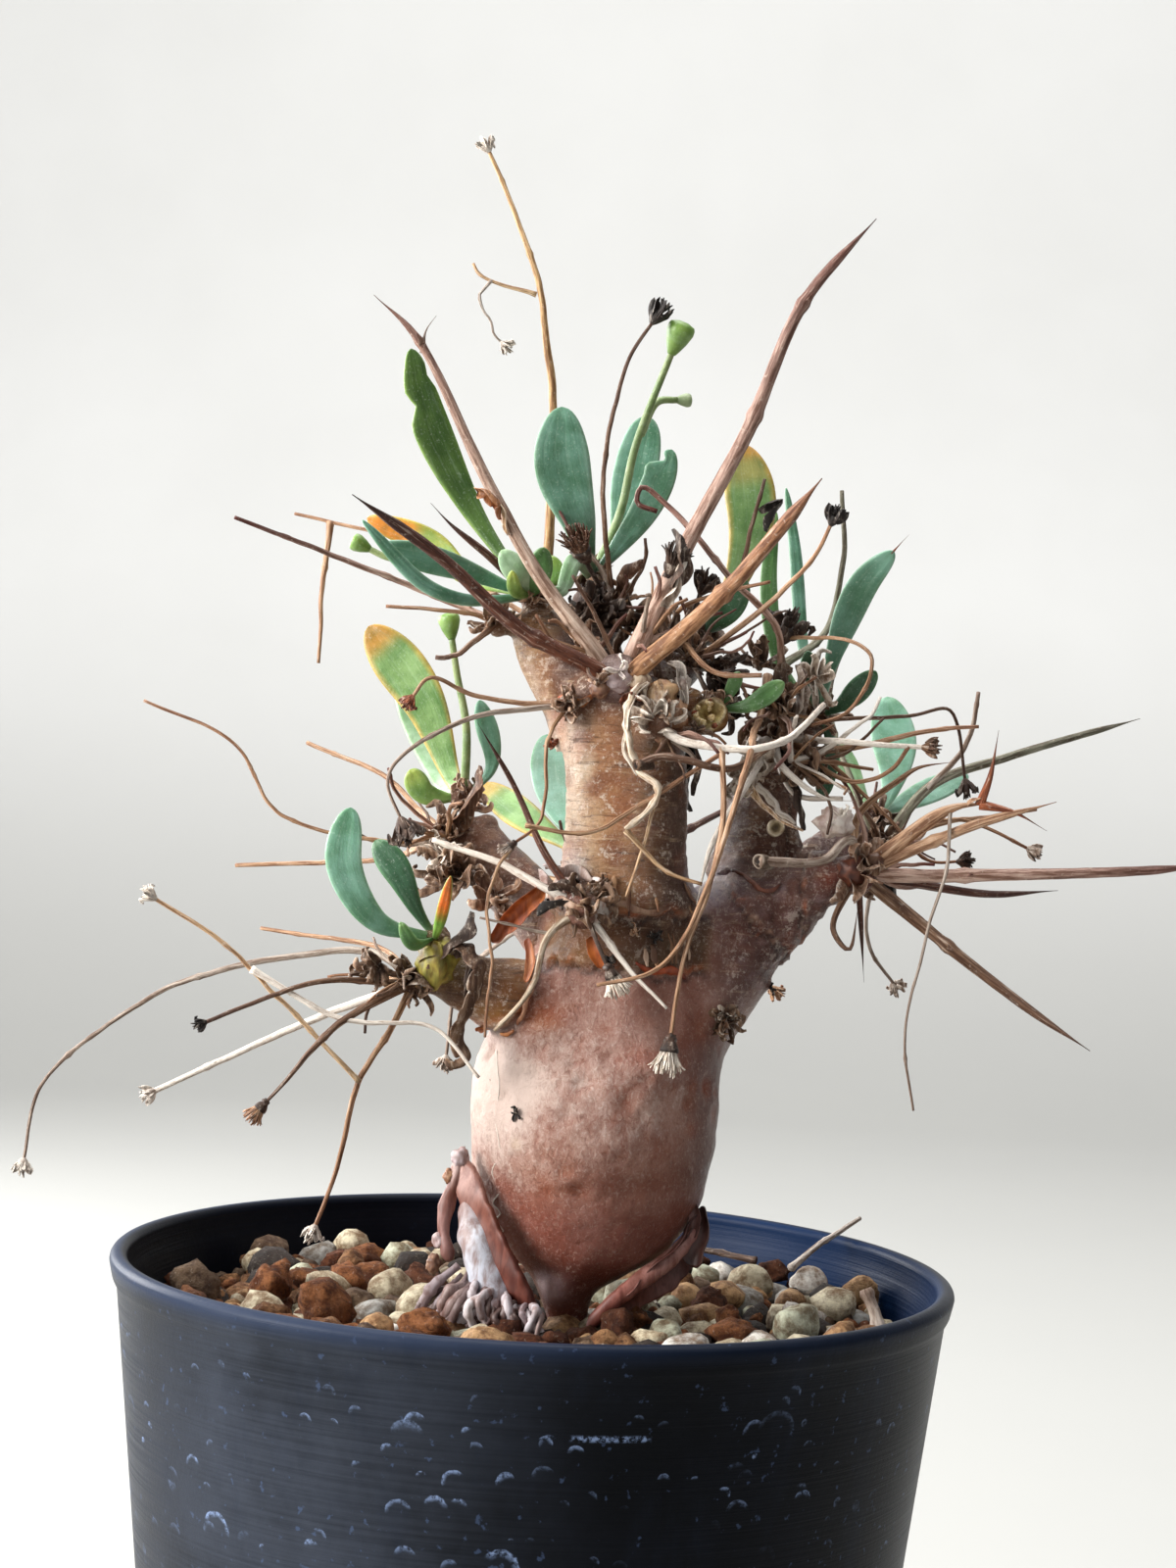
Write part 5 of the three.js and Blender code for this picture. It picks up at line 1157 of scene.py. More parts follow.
@growing_point([2.8, 6.4, 176], 4.8)
def shoot_top_middle(root):
    return [
        leaf([root, [1, -1, 182], [-1.5, -2, 189], [-2, -3, 196.5]], 6.7, "blue", cup=0.08),
        leaf([root, [6, 9, 181.5], [7.5, 11, 189.5], [9, 13, 198]], 5.9, "blue"),
        leaf([root, [6, 2, 180], [9, 0, 184.5], [12, -2, 192]], 4.1, "blue", "heart"),
        leaf([root, [0.5, -1, 177.5], [-1, -3, 173.5], [-2.5, -4, 174]], 2.1, "pale", "narrow"),
        bud([root, [6, 4, 184.5], [7.5, 4, 193], [11.5, 2, 205]], 3.5),
        bud([[8, 4, 194.5], [10, 6, 199], [12.5, 7, 199.5]], 1.8, "#9aa382"),
    ]


@growing_point([17.6, 7, 170], 4.8)
def shoot_top_right(root):
    return [
        leaf([root, [21, 9, 176], [23, 11, 185], [21.5, 13, 195]], 6.4, "autumn", cup=0.06),
        leaf([root, [19, 2, 171.5], [22, -1, 176.5]], 4.2, "dark"),
    ]


@growing_point([18.8, -5.8, 159.7], 3.6, "husk")
def shoot_stub(root):
    return [
        leaf([root, [20.5, -7, 162], [21.5, -8, 164.5]], 1.8),
        leaf([root, [23, -8, 160.5], [27, -8.6, 163.5]], 2.5, turn=-15),
    ]


@growing_point([33, 9.4, 160], 4.8)
def shoot_right_top(root):
    return [
        leaf([root, [28, 13, 166.5], [26, 15, 176.5], [26.5, 17, 187]], 2.3, form="narrow"),
        leaf([root, [31, 17, 169.5], [29.5, 20, 182.5], [28, 21, 190.5]], 1.8, "blue", "narrow"),
        leaf([root, [34, 6.5, 167], [37, 3, 176.5], [40.5, 0, 181]], 3.9, "blue", spine=3),
        leaf([root, [36, 6, 162], [39.5, 4, 166]], 3, "dark"),
        leaf([root, [34.5, 6.6, 156.5], [34, 6, 152.5], [33.5, 5, 149.5]], 2.7, "dark"),
        leaf([root, [31.5, 4, 164], [30.5, 2, 168]], 2.5, "dark"),
    ]


@growing_point([42.4, 24.8, 147.4], 4.4)
def shoot_right_back(root):
    return [
        leaf([root, [44.5, 28, 150.5], [45.5, 32, 156], [44.5, 36, 164]], 6, "mist"),
        leaf([root, [48, 36, 149.5], [57.5, 46, 154]], 4.2, "blue", turn=-40),
        leaf([root, [40.5, 36, 151.5], [38, 46, 158.5]], 4.2, turn=30),
    ]


@growing_point([-14, -8, 130], 4.2, None)
def shoot_left_arm(root):
    return [
        knob([-13.6, -9.8, 126.8], [4.4, 3.4, 5.6], "stump", 2.2),
        knob([-14.6, -9.6, 124.8], [3, 2.6, 2.6], "gold", 2),
        knob([-12.4, -9.8, 128.8], [2.4, 2.2, 2.6], "stump", 2.4),
        leaf([root, [-21, -13, 132], [-25, -15, 138.5], [-24.5, -16, 145.5]], 4.5, "mist"),
        leaf([root, [-16.5, -9, 133.5], [-19, -9, 138], [-22, -8, 141.5]], 3.6, "dark"),
        leaf([root, [-13, -16, 133], [-12, -19, 138]], 1.5, "young", "narrow"),
        leaf([root, [-16.5, -13, 129.5], [-18, -14, 132]], 1.7),
    ]


@growing_point([-12.4, 14.6, 147], 4.8, "husk")
def shoot_left_back(root):
    return [
        leaf([root, [-14.5, 20, 150], [-19, 23, 160], [-27, 26, 169.5]], 6.6, "autumn"),
        leaf([root, [-15.5, 27, 149], [-19.5, 32, 156.5], [-23, 35, 166]], 5.4, "pale", turn=20),
        leaf([root, [-9, 14, 151.5], [-11, 14, 160]], 2.8, "blue"),
        leaf([root, [-17.5, 13, 147.5], [-19.5, 12.5, 150.5]], 3.3, "lime"),
        bud([root, [-12.5, 12, 156.5], [-14, 12, 163], [-15, 12, 168]], 2.8),
    ]


@growing_point([4.5, 26.6, 139.8], 4.8)
def shoot_back(root):
    return [
        leaf([root, [-0.5, 38, 147], [-2.5, 48, 156.5]], 5.6, "blue", turn=10),
        leaf([root, [11, 40, 146], [14.5, 50, 154.5]], 5.1, turn=-15),
        leaf([root, [5.5, 44, 145.5], [5, 56, 151.5]], 4.3, "blue", "notch", 5),
        leaf([root, [-4, 40, 144], [-11.5, 50, 149]], 4.8, "autumn", turn=25),
    ]


# The bole: height, centre x and y, half width and half depth
BOLE = [
    [62, 5, -1, 0.8, 0.8], [74, 5, -1.5, 2.3, 2.3], [83, 4.6, -3.6, 2.6, 2.6], [87, 4.3, -3.8, 3.7, 3.6],
    [89, 5.4, -2.8, 5.9, 5.6], [91.5, 6.5, -1.6, 9.4, 8.6], [96, 7.2, -0.5, 12.6, 11.6],
    [101, 6.9, 0, 14.4, 13.2], [107, 6.7, 0, 15.5, 14.2], [113, 6.9, 0, 15.4, 14],
    [118.5, 7.6, 0, 14.6, 12.8], [124, 8.5, -0.5, 12, 10.8], [128, 8.8, -1.5, 9.8, 9.4],
    [133, 8.8, -2.5, 8.6, 8.6], [136.3, 8.6, -3, 8.9, 8.8], [138, 8.6, -3, 8.1, 8],
    [144, 8.7, -4, 7.6, 7.6], [151, 8.4, -4, 7.6, 7.5], [157, 7.4, -4, 7.4, 7], [161, 6.6, -4, 6.2, 5.8],
    [164, 6, -3.5, 3.6, 3.6],
]

# The arms: route and diameters spread along it
ARMS = [
    ([[4, -1, 156], [-1, 0, 164.5], [-4, 1, 169.5], [-4.6, 1, 171.2]], [10, 8.6, 8, 6]),
    ([[6, 0, 157], [4, 4, 166], [2.8, 7, 172], [2.8, 7.4, 174]], [9, 7.4, 6.4, 5]),
    ([[8, -4, 156], [12, -5, 160], [17, -5.5, 159.6]], [9, 6.6, 5]),
    ([[8, -1, 158], [13, 3, 164], [16.5, 6, 168]], [8.4, 7, 5.6]),
    ([[10, 0, 114], [17.5, 1, 124], [23.5, 1.5, 131.5], [29.5, 1.5, 136.5], [35.8, 0, 140.3]],
     [22, 17.5, 15, 9.6, 5.8]),
    ([[25.3, 5, 132], [25.6, 8, 141], [26, 9, 149], [27.2, 9, 156.5]], [12, 11, 9.6, 6]),
    ([[27, 9, 152], [31.5, 9, 158.5]], [6, 4.6]),
    ([[26, 7, 134], [35, 17, 141.5], [41, 23.5, 145]], [9, 7, 5]),
    ([[3, -3, 120], [-5, -4.5, 123], [-11, -6, 125.2], [-14.6, -7, 126.6]], [12, 10.4, 7.2, 5.2]),
    ([[4, 5, 127], [-4, 10, 135], [-10, 13, 141], [-11.4, 14, 144]], [10, 8.6, 8, 6.4]),
    ([[6, 6, 122], [5, 19, 129], [4.5, 26.5, 137]], [12, 8.6, 6]),
]

# Dents and swellings of the skin: place, radius and height
FEATURES = [
    ([5.6, -14, 114.3], 1.3, -0.5), ([2.9, -14, 109.4], 1.1, -0.4), ([10.4, -14, 111.6], 1.2, -0.45),
    ([8.4, -13, 116.8], 1.0, -0.25), ([12.4, -13.5, 110], 0.8, -0.25), ([1.2, -13, 117.5], 0.9, -0.25),
    ([13.8, -13, 115.9], 2.8, 1.2), ([13, -10, 131.7], 1.2, 0.5), ([10.6, -11, 132.3], 1.0, 0.45),
    ([27.5, -4, 145.3], 1.4, 0.5), ([27.5, 0, 125.8], 0.9, 0.6), ([1.7, -10, 149.1], 0.7, -0.4),
    ([0.8, -9, 152.1], 0.8, -0.4), ([11.7, -8.5, 162], 1.4, 0.4), ([34.3, -2, 139.8], 2.0, 0.5),
    ([2.8, -7.4, 87.6], 2.0, 0.9), ([20.6, 1, 137.4], 4.2, 1.9), ([5, -11.5, 121.5], 4.6, -0.9),
    ([15.5, -11, 122], 4.5, -0.7), ([-3, -9, 119], 4, 0.6), ([9.8, -11.5, 125.3], 3.2, 0.6),
    ([18.5, -10.5, 112], 4.5, -0.7), ([2, -13, 104], 7, 0.5), ([-6, -7, 112], 4, 0.5),
    ([12, 12, 116], 5, 0.8), ([-7.5, -2, 100.5], 5, 0.9), ([-5.6, -4, 94.5], 4, 0.8),
    ([0, 11, 106], 6, 0.6), ([19, 4, 104], 5, -0.6), ([30, -2, 134], 2.6, 0.7), ([22, -6, 131], 3, -0.5),
]

# Small patches of colour on the skin, among them a painted highlight and a painted shade at the toe: place,
# radius and colour
PATCHES = [
    ([6.6, -11.4, 160.9], 0.9, "#b5622e"), ([3.9, -11, 160.6], 0.8, "#b5622e"),
    ([11.7, -8.5, 162], 2.4, "#8f6c4c"), ([17, -5.5, 159.8], 2.2, "#b39b50"),
    ([34.3, -3, 139.6], 1.2, "#8a4630"), ([27.5, -4.5, 145.3], 1.0, "#d9c9b0"),
    ([13, -11, 131.7], 0.9, "#231a16"), ([10.6, -12, 132.3], 0.8, "#3a2a20"),
    ([1.7, -11, 149.1], 0.6, "#231a16"), ([0.8, -10, 152.1], 0.6, "#231a16"),
    ([-2.4, -11, 105.9], 0.7, "#d2b27c"), ([5.6, -14, 114.3], 0.9, "#a86a50"),
    # Painted highlight on the toe's front (#d6c2c8), and painted shade in the hollow to the toe's right
    # (#5a281e)
    ([2.4, -7.6, 87.8], 1.8, "#d6c2c8"), ([9, -6, 87], 3, "#5a281e"), ([18.4, -1, 138.8], 3.6, "#a3a2bd"),
    ([3, -11.6, 111.4], 1.4, "#b07050"), ([10.2, -13.6, 112.4], 1.6, "#a8684c"),
    ([1.4, -7.4, 138.8], 2.6, "#dcd2d8"), ([6.4, -11.4, 162.6], 2.0, "#cfc4cc"),
    ([-0.4, -9, 120.6], 2.4, "#a8602f"),
]


def caudex_mesh():
    """Points and faces of the bole, arms and growing points, run together"""
    rough = Shape()
    rows = np.array(BOLE, float)
    heights = np.linspace(rows[0, 0], rows[-1, 0], 120)
    route = through(rows[:, [1, 2, 0]], 10)
    sizes = through(rows[:, [3, 4, 0]], 10)
    x, y = [np.interp(heights, route[:, 2], route[:, k])[:, None] for k in (0, 1)]
    wide, deep = [np.interp(heights, sizes[:, 2], sizes[:, k])[:, None] for k in (0, 1)]
    angles = turns(SIDES["bole"])
    level = np.repeat(heights[:, None], len(angles), axis=1)
    rings = [x + wide * np.cos(angles), y + deep * np.sin(angles), level]
    rough.rings(np.stack(rings, axis=-1), "bark", (0, 0, 0))
    for route, widths in ARMS:
        centres, run, t = even(route, 0.8)
        radii = np.interp(t, np.linspace(0, 1, len(widths)), widths) / 2
        bare = np.zeros((len(run), 4))
        round_tube(rough, centres, run, radii, SIDES["arm"], "bark", bare, 0.1, radii[0])
    for at, size, _, _ in POINTS.values():
        lump = np.linspace(-1, 1, 12)
        centres = np.array(at) + np.outer(lump, (0.2, 0.1, 1)) * size * 0.4
        radii = size * 0.38 * np.sqrt(1.02 - lump ** 2)
        bare = np.zeros((len(lump), 4))
        round_tube(rough, centres, lump * 3, radii, SIDES["lump"], "bark", bare, 0.5, size)
    body = add_object("rough", np.vstack(rough.points), rough.faces)
    remesh = body.modifiers.new("remesh", "REMESH")
    remesh.mode = "VOXEL"
    remesh.voxel_size = VOXEL
    soften = body.modifiers.new("soften", "SMOOTH")
    soften.factor = 0.5
    soften.iterations = 14
    done = body.evaluated_get(bpy.context.evaluated_depsgraph_get()).to_mesh()
    points, normals = [np.array([getattr(v, key)[:] for v in done.vertices]) for key in ("co", "normal")]
    faces = [list(p.vertices) for p in done.polygons]
    bpy.data.objects.remove(body)
    return points, normals, faces


def near(points, place, radius):
    """1 at a place, falling smoothly to almost 0 at twice the radius"""
    return peak(np.linalg.norm(points - place, axis=1), 0, radius)


def trunk_share(points):
    """How far a point belongs to the upper trunk rather than the smooth bole"""
    x, y, z = points.T
    return smooth(134, 135.5, z) * smooth(10.8, 9.6, np.hypot(x - 8.5, y + 3.8)) * smooth(164, 161, z)


def left_collar(points):
    """How far each point lies inside the rounded edge of the left arm's amber bark, in mm"""
    x, _, z = points.T
    wide = (np.maximum(x + 9.5, 0) / 7.6) ** 2.6 + (np.maximum(126 - z, 0) / 6.9) ** 2.6
    return 7.8 * (1 - wide ** (1 / 2.6)) + 0.45 * ripple(points, 0.8, 47)


def sleeves(points):
    """Each sleeve of older bark: how far each point lies past its ragged edge, its rise, how far on the rise
    has gone, and where the sleeve counts"""
    x, y, z = points.T
    ragged = ripple(points * [1, 1, 0.25], 0.45, 31) + 0.5 * ripple(points * [1, 1, 0.25], 1.3, 37)
    trunk = smooth(12, 10.6, np.hypot(x - 8.7, y + 3))
    elbow = smooth(16, 19, x) * smooth(120, 123, z) * smooth(142, 138, z)
    return [
        (z - 127.4 - 1.2 * ragged, 0.6, 5, trunk), (z - 134.3 - 1.5 * ragged, 0.6, 5, trunk),
        (left_collar(points), 0.5, 5, smooth(115, 117, z) * smooth(131, 128, z) * smooth(3, 1, y)),
        (z - 138.8 - 0.9 * ragged, 0.45, 4, smooth(8.2, 7, np.hypot(x - 26.3, y - 7))),
        (x - 31 - 2.2 * ragged, 0.5, 4, smooth(130, 132, z) * smooth(9, 7, np.abs(y))),
        (x + 0.9 * z - 146 - 2.6 * ragged, 0.5, 5, elbow),
    ]


def random_pits():
    """The bole's small dents: place, radius and height"""
    draw = random.Random(SEEDS["pits"])
    for _ in range(COUNTS["pits"]):
        turn = draw.uniform(-math.pi, math.pi)
        place = [6.9 + 15 * math.cos(turn), 13.6 * math.sin(turn), draw.triangular(96, 123, 114)]
        yield place, draw.uniform(0.3, 1.0), -draw.uniform(0.2, 0.5)


def shape_skin(points, normals):
    """Low lumps on the bole, ring wrinkles on the trunk, sleeves of older bark, dents and swellings"""
    trunk = trunk_share(points)
    height = (0.4 * ripple(points, 0.11) + 0.16 * ripple(points, 0.3, 2)) * (1 - trunk)
    height += 0.07 * ripple(points, 0.7, 4)
    rings = ripple(points * [0.22, 0.22, 1.5], 1.0, 3) * 0.15 + ripple(points * [0.5, 0.5, 2.6], 1.0, 8) * 0.1
    height += rings * np.clip(trunk + 0.4 * smooth(-4, -8, points[:, 0]), 0, 1)
    arms = smooth(12, 20, np.abs(points[:, 0] - 8)) * smooth(122, 130, points[:, 2])
    height += arms * (0.3 * ripple(points, 0.9, 12) + 0.4 * ripple(points, 0.35, 14))
    height += arms * 0.25 * np.maximum(ripple(points * [0.4, 0.4, 1.6], 1.0, 19), 0)
    for past, rise, fade, share in sleeves(points):
        height += rise * smooth(-0.35, 0.35, past) * smooth(fade, 0.5, past) * share
    for place, radius, rise in [*FEATURES, *random_pits()]:
        height += rise * near(points, place, radius)
    return points + normals * height[:, None]


def skin_tint(points):
    """The skin's colours: terracotta bole, pale shoulders, golden trunk, dark right arm, amber left arm, with
    painted highlight on the left and front and painted shade on the right and under the bark's edges
    """
    x, y, z = points.T
    fine = ripple(points, 0.35, 21)
    tiny = ripple(points, 0.9, 25)
    mixed = fine + 0.6 * tiny
    ragged_x = x + 2 * fine
    trunk = trunk_share(points)
    colour = np.repeat([hue("#9a6856")], len(points), axis=0)

    def lay(name, share):
        nonlocal colour
        share = np.clip(share, 0, 1)[:, None]
        colour = colour * (1 - share) + hue(name) * share

    # The bole, with pits, its bloom, painted highlight on its left edge and front, and painted shade on its
    # right side
    lay("#b98873", 0.8 * smooth(0.35, 0.75, 0.5 + 0.5 * ripple(points, 0.09, 5)))
    # Painted highlight: a lighter patch on the front of the bole
    lay("#b48e7e", 0.6 * near(points, [5, -13, 112], 9))
    lay("#a0685a", smooth(103, 95, z))
    lay("#6b3626", smooth(96, 88, z))
    lay("#a5796a", smooth(107, 121, z + 5 * fine) * (1 - trunk))
    lay("#9a5f48", 0.7 * smooth(-0.1, 0.5, fine) * smooth(114, 119, z) * smooth(127, 122, z))
    # Painted shade: the bole's right side darker
    lay("#5e3a2e", 0.8 * smooth(14, 21, x) * smooth(95, 103, z) * smooth(124, 116, z))
    # The upper bole's bloom: real wax bloom, spread lower and wider towards the lit left as painted sheen
    bloom = 0.5 * smooth(94, 115, z - 0.35 * (x - 3) + 7 * fine + 5 * tiny) * smooth(121, 112, z + 4 * fine)
    bloom += 0.25 * smooth(111, 119, z + 9 * fine + 4 * tiny) * smooth(130, 125, z) * smooth(14, 6, x)
    # Painted highlight: wax-white along the bole's left edge and a bright spot on its upper left
    bloom += 0.3 * smooth(3, -7, ragged_x + tiny) * smooth(92, 112, z + 6 * fine) * smooth(122, 114, z)
    bloom += 0.7 * near(points, [-4, -9.6, 111.6], 4.6)
    for place, radius, _ in random_pits():
        lay("#96502e", 0.7 * near(points, place, 1.2 * radius))
    bloom *= smooth(21, 13, x)

    # The right arm
    right = smooth(17, 24, x) * smooth(119, 127, z)
    lay("#52302a", 0.9 * right)
    lay("#7c4e40", 0.7 * right * smooth(0.0, 0.4, mixed))
    lay("#9a8488", 0.45 * right * smooth(0.1, 0.5, ripple(points, 0.6, 44)))
    bloom = bloom * (1 - 0.6 * right) + 0.25 * right * smooth(0, 0.5, fine)

    # The left arm's amber bark, its orange and pale edge, and its greenish growing point
    past = left_collar(points)
    left = smooth(-0.2, 0.3, past) * smooth(134, 131, z) * smooth(6, 2, y)
    lay("#6e5030", left)
    lay("#b0803e", 0.8 * left * smooth(5, 1.5, past + fine))
    lay("#a98a62", 0.7 * left * smooth(0.05, 0.4, tiny))
    bloom *= 1 - left
    lay("#c97a38", 0.8 * left * peak(past, 0.5, 0.6) * smooth(124, 120.5, z))
    lay("#e0b488", 0.7 * left * peak(past, 0.2, 0.3) * smooth(119.5, 121.5, z))
    lay("#a6a04c", 0.9 * near(points, [-13.6, -9, 129], 3))

    # The arms at the back
    back = smooth(126, 130, z) * smooth(4, 9, y) * smooth(20, 14, x)
    back = np.maximum(back, smooth(128, 130.5, z) * smooth(-0.4, -1.6, x) * smooth(-4, -1, y))
    lay("#6a4731", back)
    lay("#9a7456", 0.7 * back * smooth(0.0, 0.4, mixed))

    # The trunk, with painted light on its left and painted shade on its right, and the amber band under it
    lay("#b8895c", trunk)
    lay("#d6bb98", trunk * 0.75 * smooth(8, 1, ragged_x))
    lay("#eddfce", trunk * 0.6 * smooth(4.4, 1, x + fine + tiny))
    lay("#50352a", trunk * 0.9 * smooth(9, 14.5, ragged_x))
    lay("#a4643c", trunk * 0.7 * smooth(155, 159, z + fine))
    lay("#8c5636", trunk * smooth(0.1, 0.5, fine) * 0.6)
    amber = smooth(127, 128.2, z) * smooth(135, 133.6, z) * smooth(12, 10.4, np.hypot(x - 8.7, y + 3))
    lay("#8c6230", amber)
    # Painted shade: the amber band darkens towards the right
    lay("#4c3218", 0.8 * amber * smooth(5, 11, ragged_x))

    # The right arm's upper branch, and the crown
    branch = smooth(138.5, 139.5, z) * smooth(9.8, 8.2, np.hypot(x - 26.6, y - 8))
    lay("#6e4c3b", branch)
    lay("#9c7860", 0.7 * branch * smooth(0, 0.4, fine + 0.5 * tiny))
    bloom *= 1 - branch
    crown = smooth(157.5, 160, z) * smooth(24, 20, x)
    lay("#7d5741", crown)
    lay("#b59062", 0.9 * crown * smooth(1, -4, ragged_x) * smooth(174, 171, z))
    lay("#3f2a20", 0.85 * crown * smooth(-1, 2.5, x) * smooth(163, 166, z + 2 * fine))
    stub = smooth(12.5, 14.5, x) * smooth(157, 158, z) * smooth(163.5, 162, z) * smooth(2, 0, y)
    lay("#a97c4c", 0.9 * stub)
    bloom += crown * 0.35 * smooth(0, 0.5, fine)
    for place, radius in (([6, -11.5, 163.2], 2.2), ([18.8, -1, 138.8], 3.8), ([1.4, -7.4, 139], 3.2)):
        bloom += 0.8 * near(points, place, radius)

    # The sleeves' edges with a painted shadow under each, the small patches and the growing points
    for past, _, _, share in sleeves(points):
        lay("#c26a30", 0.75 * share * smooth(4, -2, y) * peak(past, 0.35, 0.4) * smooth(-0.1, 0.4, fine))
        lay("#d2bda6", 0.7 * share * peak(past, 0.3, 0.35) * smooth(0.1, -0.3, fine))
        # Painted shadow: a dark line just under each sleeve's overhanging edge
        lay("#2b1710", 0.8 * share * peak(past, -0.6, 0.4))
    for place, radius, name in PATCHES:
        lay(name, 1.3 * near(points, place, radius))
    for name, (at, size, _, _) in POINTS.items():
        tip = near(points, at, size * 0.7)
        if name not in ("crown_thorns", "right_thorns"):
            lay("#5f4434", 0.9 * tip)
        bloom *= 1 - 0.6 * tip
    scaly = trunk + 0.4 * branch + 0.9 * left + 0.6 * crown + 0.4 * amber + 0.5 * right + 0.5 * back
    return np.column_stack([colour, np.clip(bloom, 0, 1)]), np.column_stack([np.clip(scaly, 0, 1), x, z])


def make_caudex():
    """The caudex's skin, which is given back so that loose bits can be set on it"""
    points, normals, faces = caudex_mesh()
    points = shape_skin(points, normals)
    shape = Shape()
    shape.take(points, faces, "bark", *skin_tint(points))
    shape.make("caudex_skin", ["caudex"], "bark")
    return BVHTree.FromPolygons([Vector(p) for p in points], faces)


def sheet(shape, route, widths, turn, looks, thick, curl, crumple, rough, seed, pale):
    """A strip of peeled bark. widths are spread along it and looks are its colours from foot to tip"""
    centres, _, t = even(route, 0.35)
    tangents, _, _ = carried(centres)
    sides = unit(np.cross(tangents, FRONT))
    ups = np.cross(sides, tangents) * math.cos(turn) + sides * math.sin(turn)
    half = np.interp(t, np.linspace(0, 1, len(widths)), widths) / 2
    ends = np.sqrt(np.clip(np.minimum(t, 1 - t) / 0.08, 0.1, 1))
    half = half * (1 + 0.16 * ripple(centres, 0.7, seed)) * ends
    colours = np.array([hue(c) for c in looks])
    colour = np.column_stack([np.interp(t, np.linspace(0, 1, len(looks)), colours[:, k]) for k in range(3)])

    def tint(s):
        paler = (pale + 0.25 * smooth(0.6, 1.0, np.abs(s)))[None] * np.ones((len(t), 1))
        return np.concatenate([np.repeat(colour[:, None], len(s), axis=1), paler[..., None]], axis=-1)

    blade(shape, centres, ups, half, half, thick, "peel", tint, curl, crumple=crumple, rough=rough, seed=seed,
          across=15)


# Peeled bark at the foot: route, widths, turn, colours, thickness, curl and how pale its edges are
FLAPS = [
    ([[-9.3, -5.4, 102.8], [-7.3, -7.4, 98], [-4.7, -9.5, 93], [-1.6, -11.2, 88.7], [1.0, -11.8, 84.6]],
     [2.2, 4.0, 4.4, 3.4, 1.8], 0.5, ["#cfa79c", "#7c4636", "#703a2c", "#58291e"], 2.0, 0.3, 0.0),
    ([[-9.6, -5.6, 103], [-10.4, -6.2, 99.1], [-11.2, -6.6, 94.6], [-10.2, -7.6, 90.4]],
     [1.8, 1.4, 2.2, 1.2, 2.2], -0.2, ["#d9c2bc", "#8c5c4e", "#a9807a", "#765048"], 1.5, -0.2, 0.05),
    ([[-8.6, -6.8, 98.4], [-7.2, -9.4, 93.4], [-5.4, -11, 88.8], [-3.6, -12, 85]],
     [2.4, 4.4, 5.0, 3.6], 0.2, ["#9a7468", "#dadde6", "#bcbfca", "#8a848c"], 1.6, -0.4, 0.1),
    ([[20.2, -4.6, 95.6], [17, -6.9, 92.2], [12.9, -8.8, 89.2], [8.8, -9.6, 85.6], [7, -9.2, 83.2]],
     [1.8, 2.2, 2.4, 2.0, 1.4], 0.2, ["#9a6a60", "#b98c82", "#985c50", "#6a382e"], 1.7, 0.0, 0.0),
    ([[20.6, -3.2, 97.6], [18.2, -5.2, 93.4], [14.6, -7.2, 89.6], [10.8, -8, 86.4], [8, -8, 83.6]],
     [3.2, 4.6, 4.6, 3.6, 2.4], -0.7, ["#4a2f2a", "#6e4840", "#7a4a40", "#4e281f"], 0.8, 0.6, 0.0),
    ([[20.8, -4.2, 98.2], [20.8, -5.6, 95], [20, -6.6, 91]],
     [1.2, 3.0, 2.6], 0.6, ["#3c2824", "#5e423c", "#4a302a"], 0.7, 0.9, 0.05),
    ([[19.4, -4.2, 98.8], [19.8, -5, 96.8], [19.2, -5.8, 94.4]],
     [0.8, 1.6, 1.2], 0.2, ["#4a322c", "#7d5c56", "#5e3e36"], 0.6, 0.8, 0.1),
]

# Knuckles on the left flaps: place, size and look
KNUCKLES = [
    ([-9.6, -5.8, 103], [2.2, 2, 2.4], "wax"), ([-10.8, -6, 100.6], [1.5, 1.4, 1.8], "peach"),
    ([-11.5, -6.8, 92.8], [1.8, 1.6, 2], "wax"), ([-12.2, -7.4, 90], [1.9, 1.8, 2.4], "husk"),
    ([-8.8, -6.8, 98.6], [1.4, 1.2, 2.2], "wax"),
]

# Orange bark under the collar: route, widths, turn, colours, curl, crumple, roughness, seed and paleness
UNDER_BARK = [
    ([[-7.2, -7.4, 130], [-4.6, -9, 133.6], [-1, -10, 137.2]], [1.4, 2.6, 1.8], 0.3,
     ["#8a4626", "#cf6f36", "#c07038"], 1.2, 0.5, 0.5, 2.0, 0),
    ([[5.2, -12.3, 131.4], [5.6, -12.7, 129.6], [6.6, -12.4, 127.6]], [1.5, 1.7, 0.8], 0.1,
     ["#8a4420", "#cc6f2c", "#b8622c"], 0.6, 0.2, 0.5, 4.0, 0),
    ([[-2.6, -10.4, 130.6], [-2.0, -11.4, 128], [-2.6, -11.6, 125.4]], [0.8, 1.3, 0.8], 0.3,
     ["#b86a44", "#d89a70", "#c07a50"], 0.8, 0.4, 0.7, 6.0, 0.1),
]

# Dry bits that lie on the skin, as seen from the front: x and z, size, look and count of small leaves
BITS = [
    ((-3.0, 109.4), 2.0, "black", 8), ((22.2, 121.6), 4.2, "litter", 26), ((22.6, 122.4), 3, "paper", 8),
    ((27.8, 125.4), 1.4, "black", 6), ((12.9, 131.7), 2.0, "black", 14), ((10.4, 132.3), 1.8, "peach", 12),
    ((7.6, 128.6), 2.6, "black", 14), ((2.6, 136.8), 3.4, "dark", 14), ((6.4, 137.6), 2.6, "litter", 10),
    ((0.4, 135.4), 2.6, "black", 10), ((-0.6, 154.6), 2.6, "rust", 9), ((14, 161.5), 3.4, "paper", 14),
    ((12.6, 158.8), 3.2, "husk", 12), ((9.4, 161.8), 2.4, "cream", 8), ((16.5, 157), 3, "litter", 10),
]

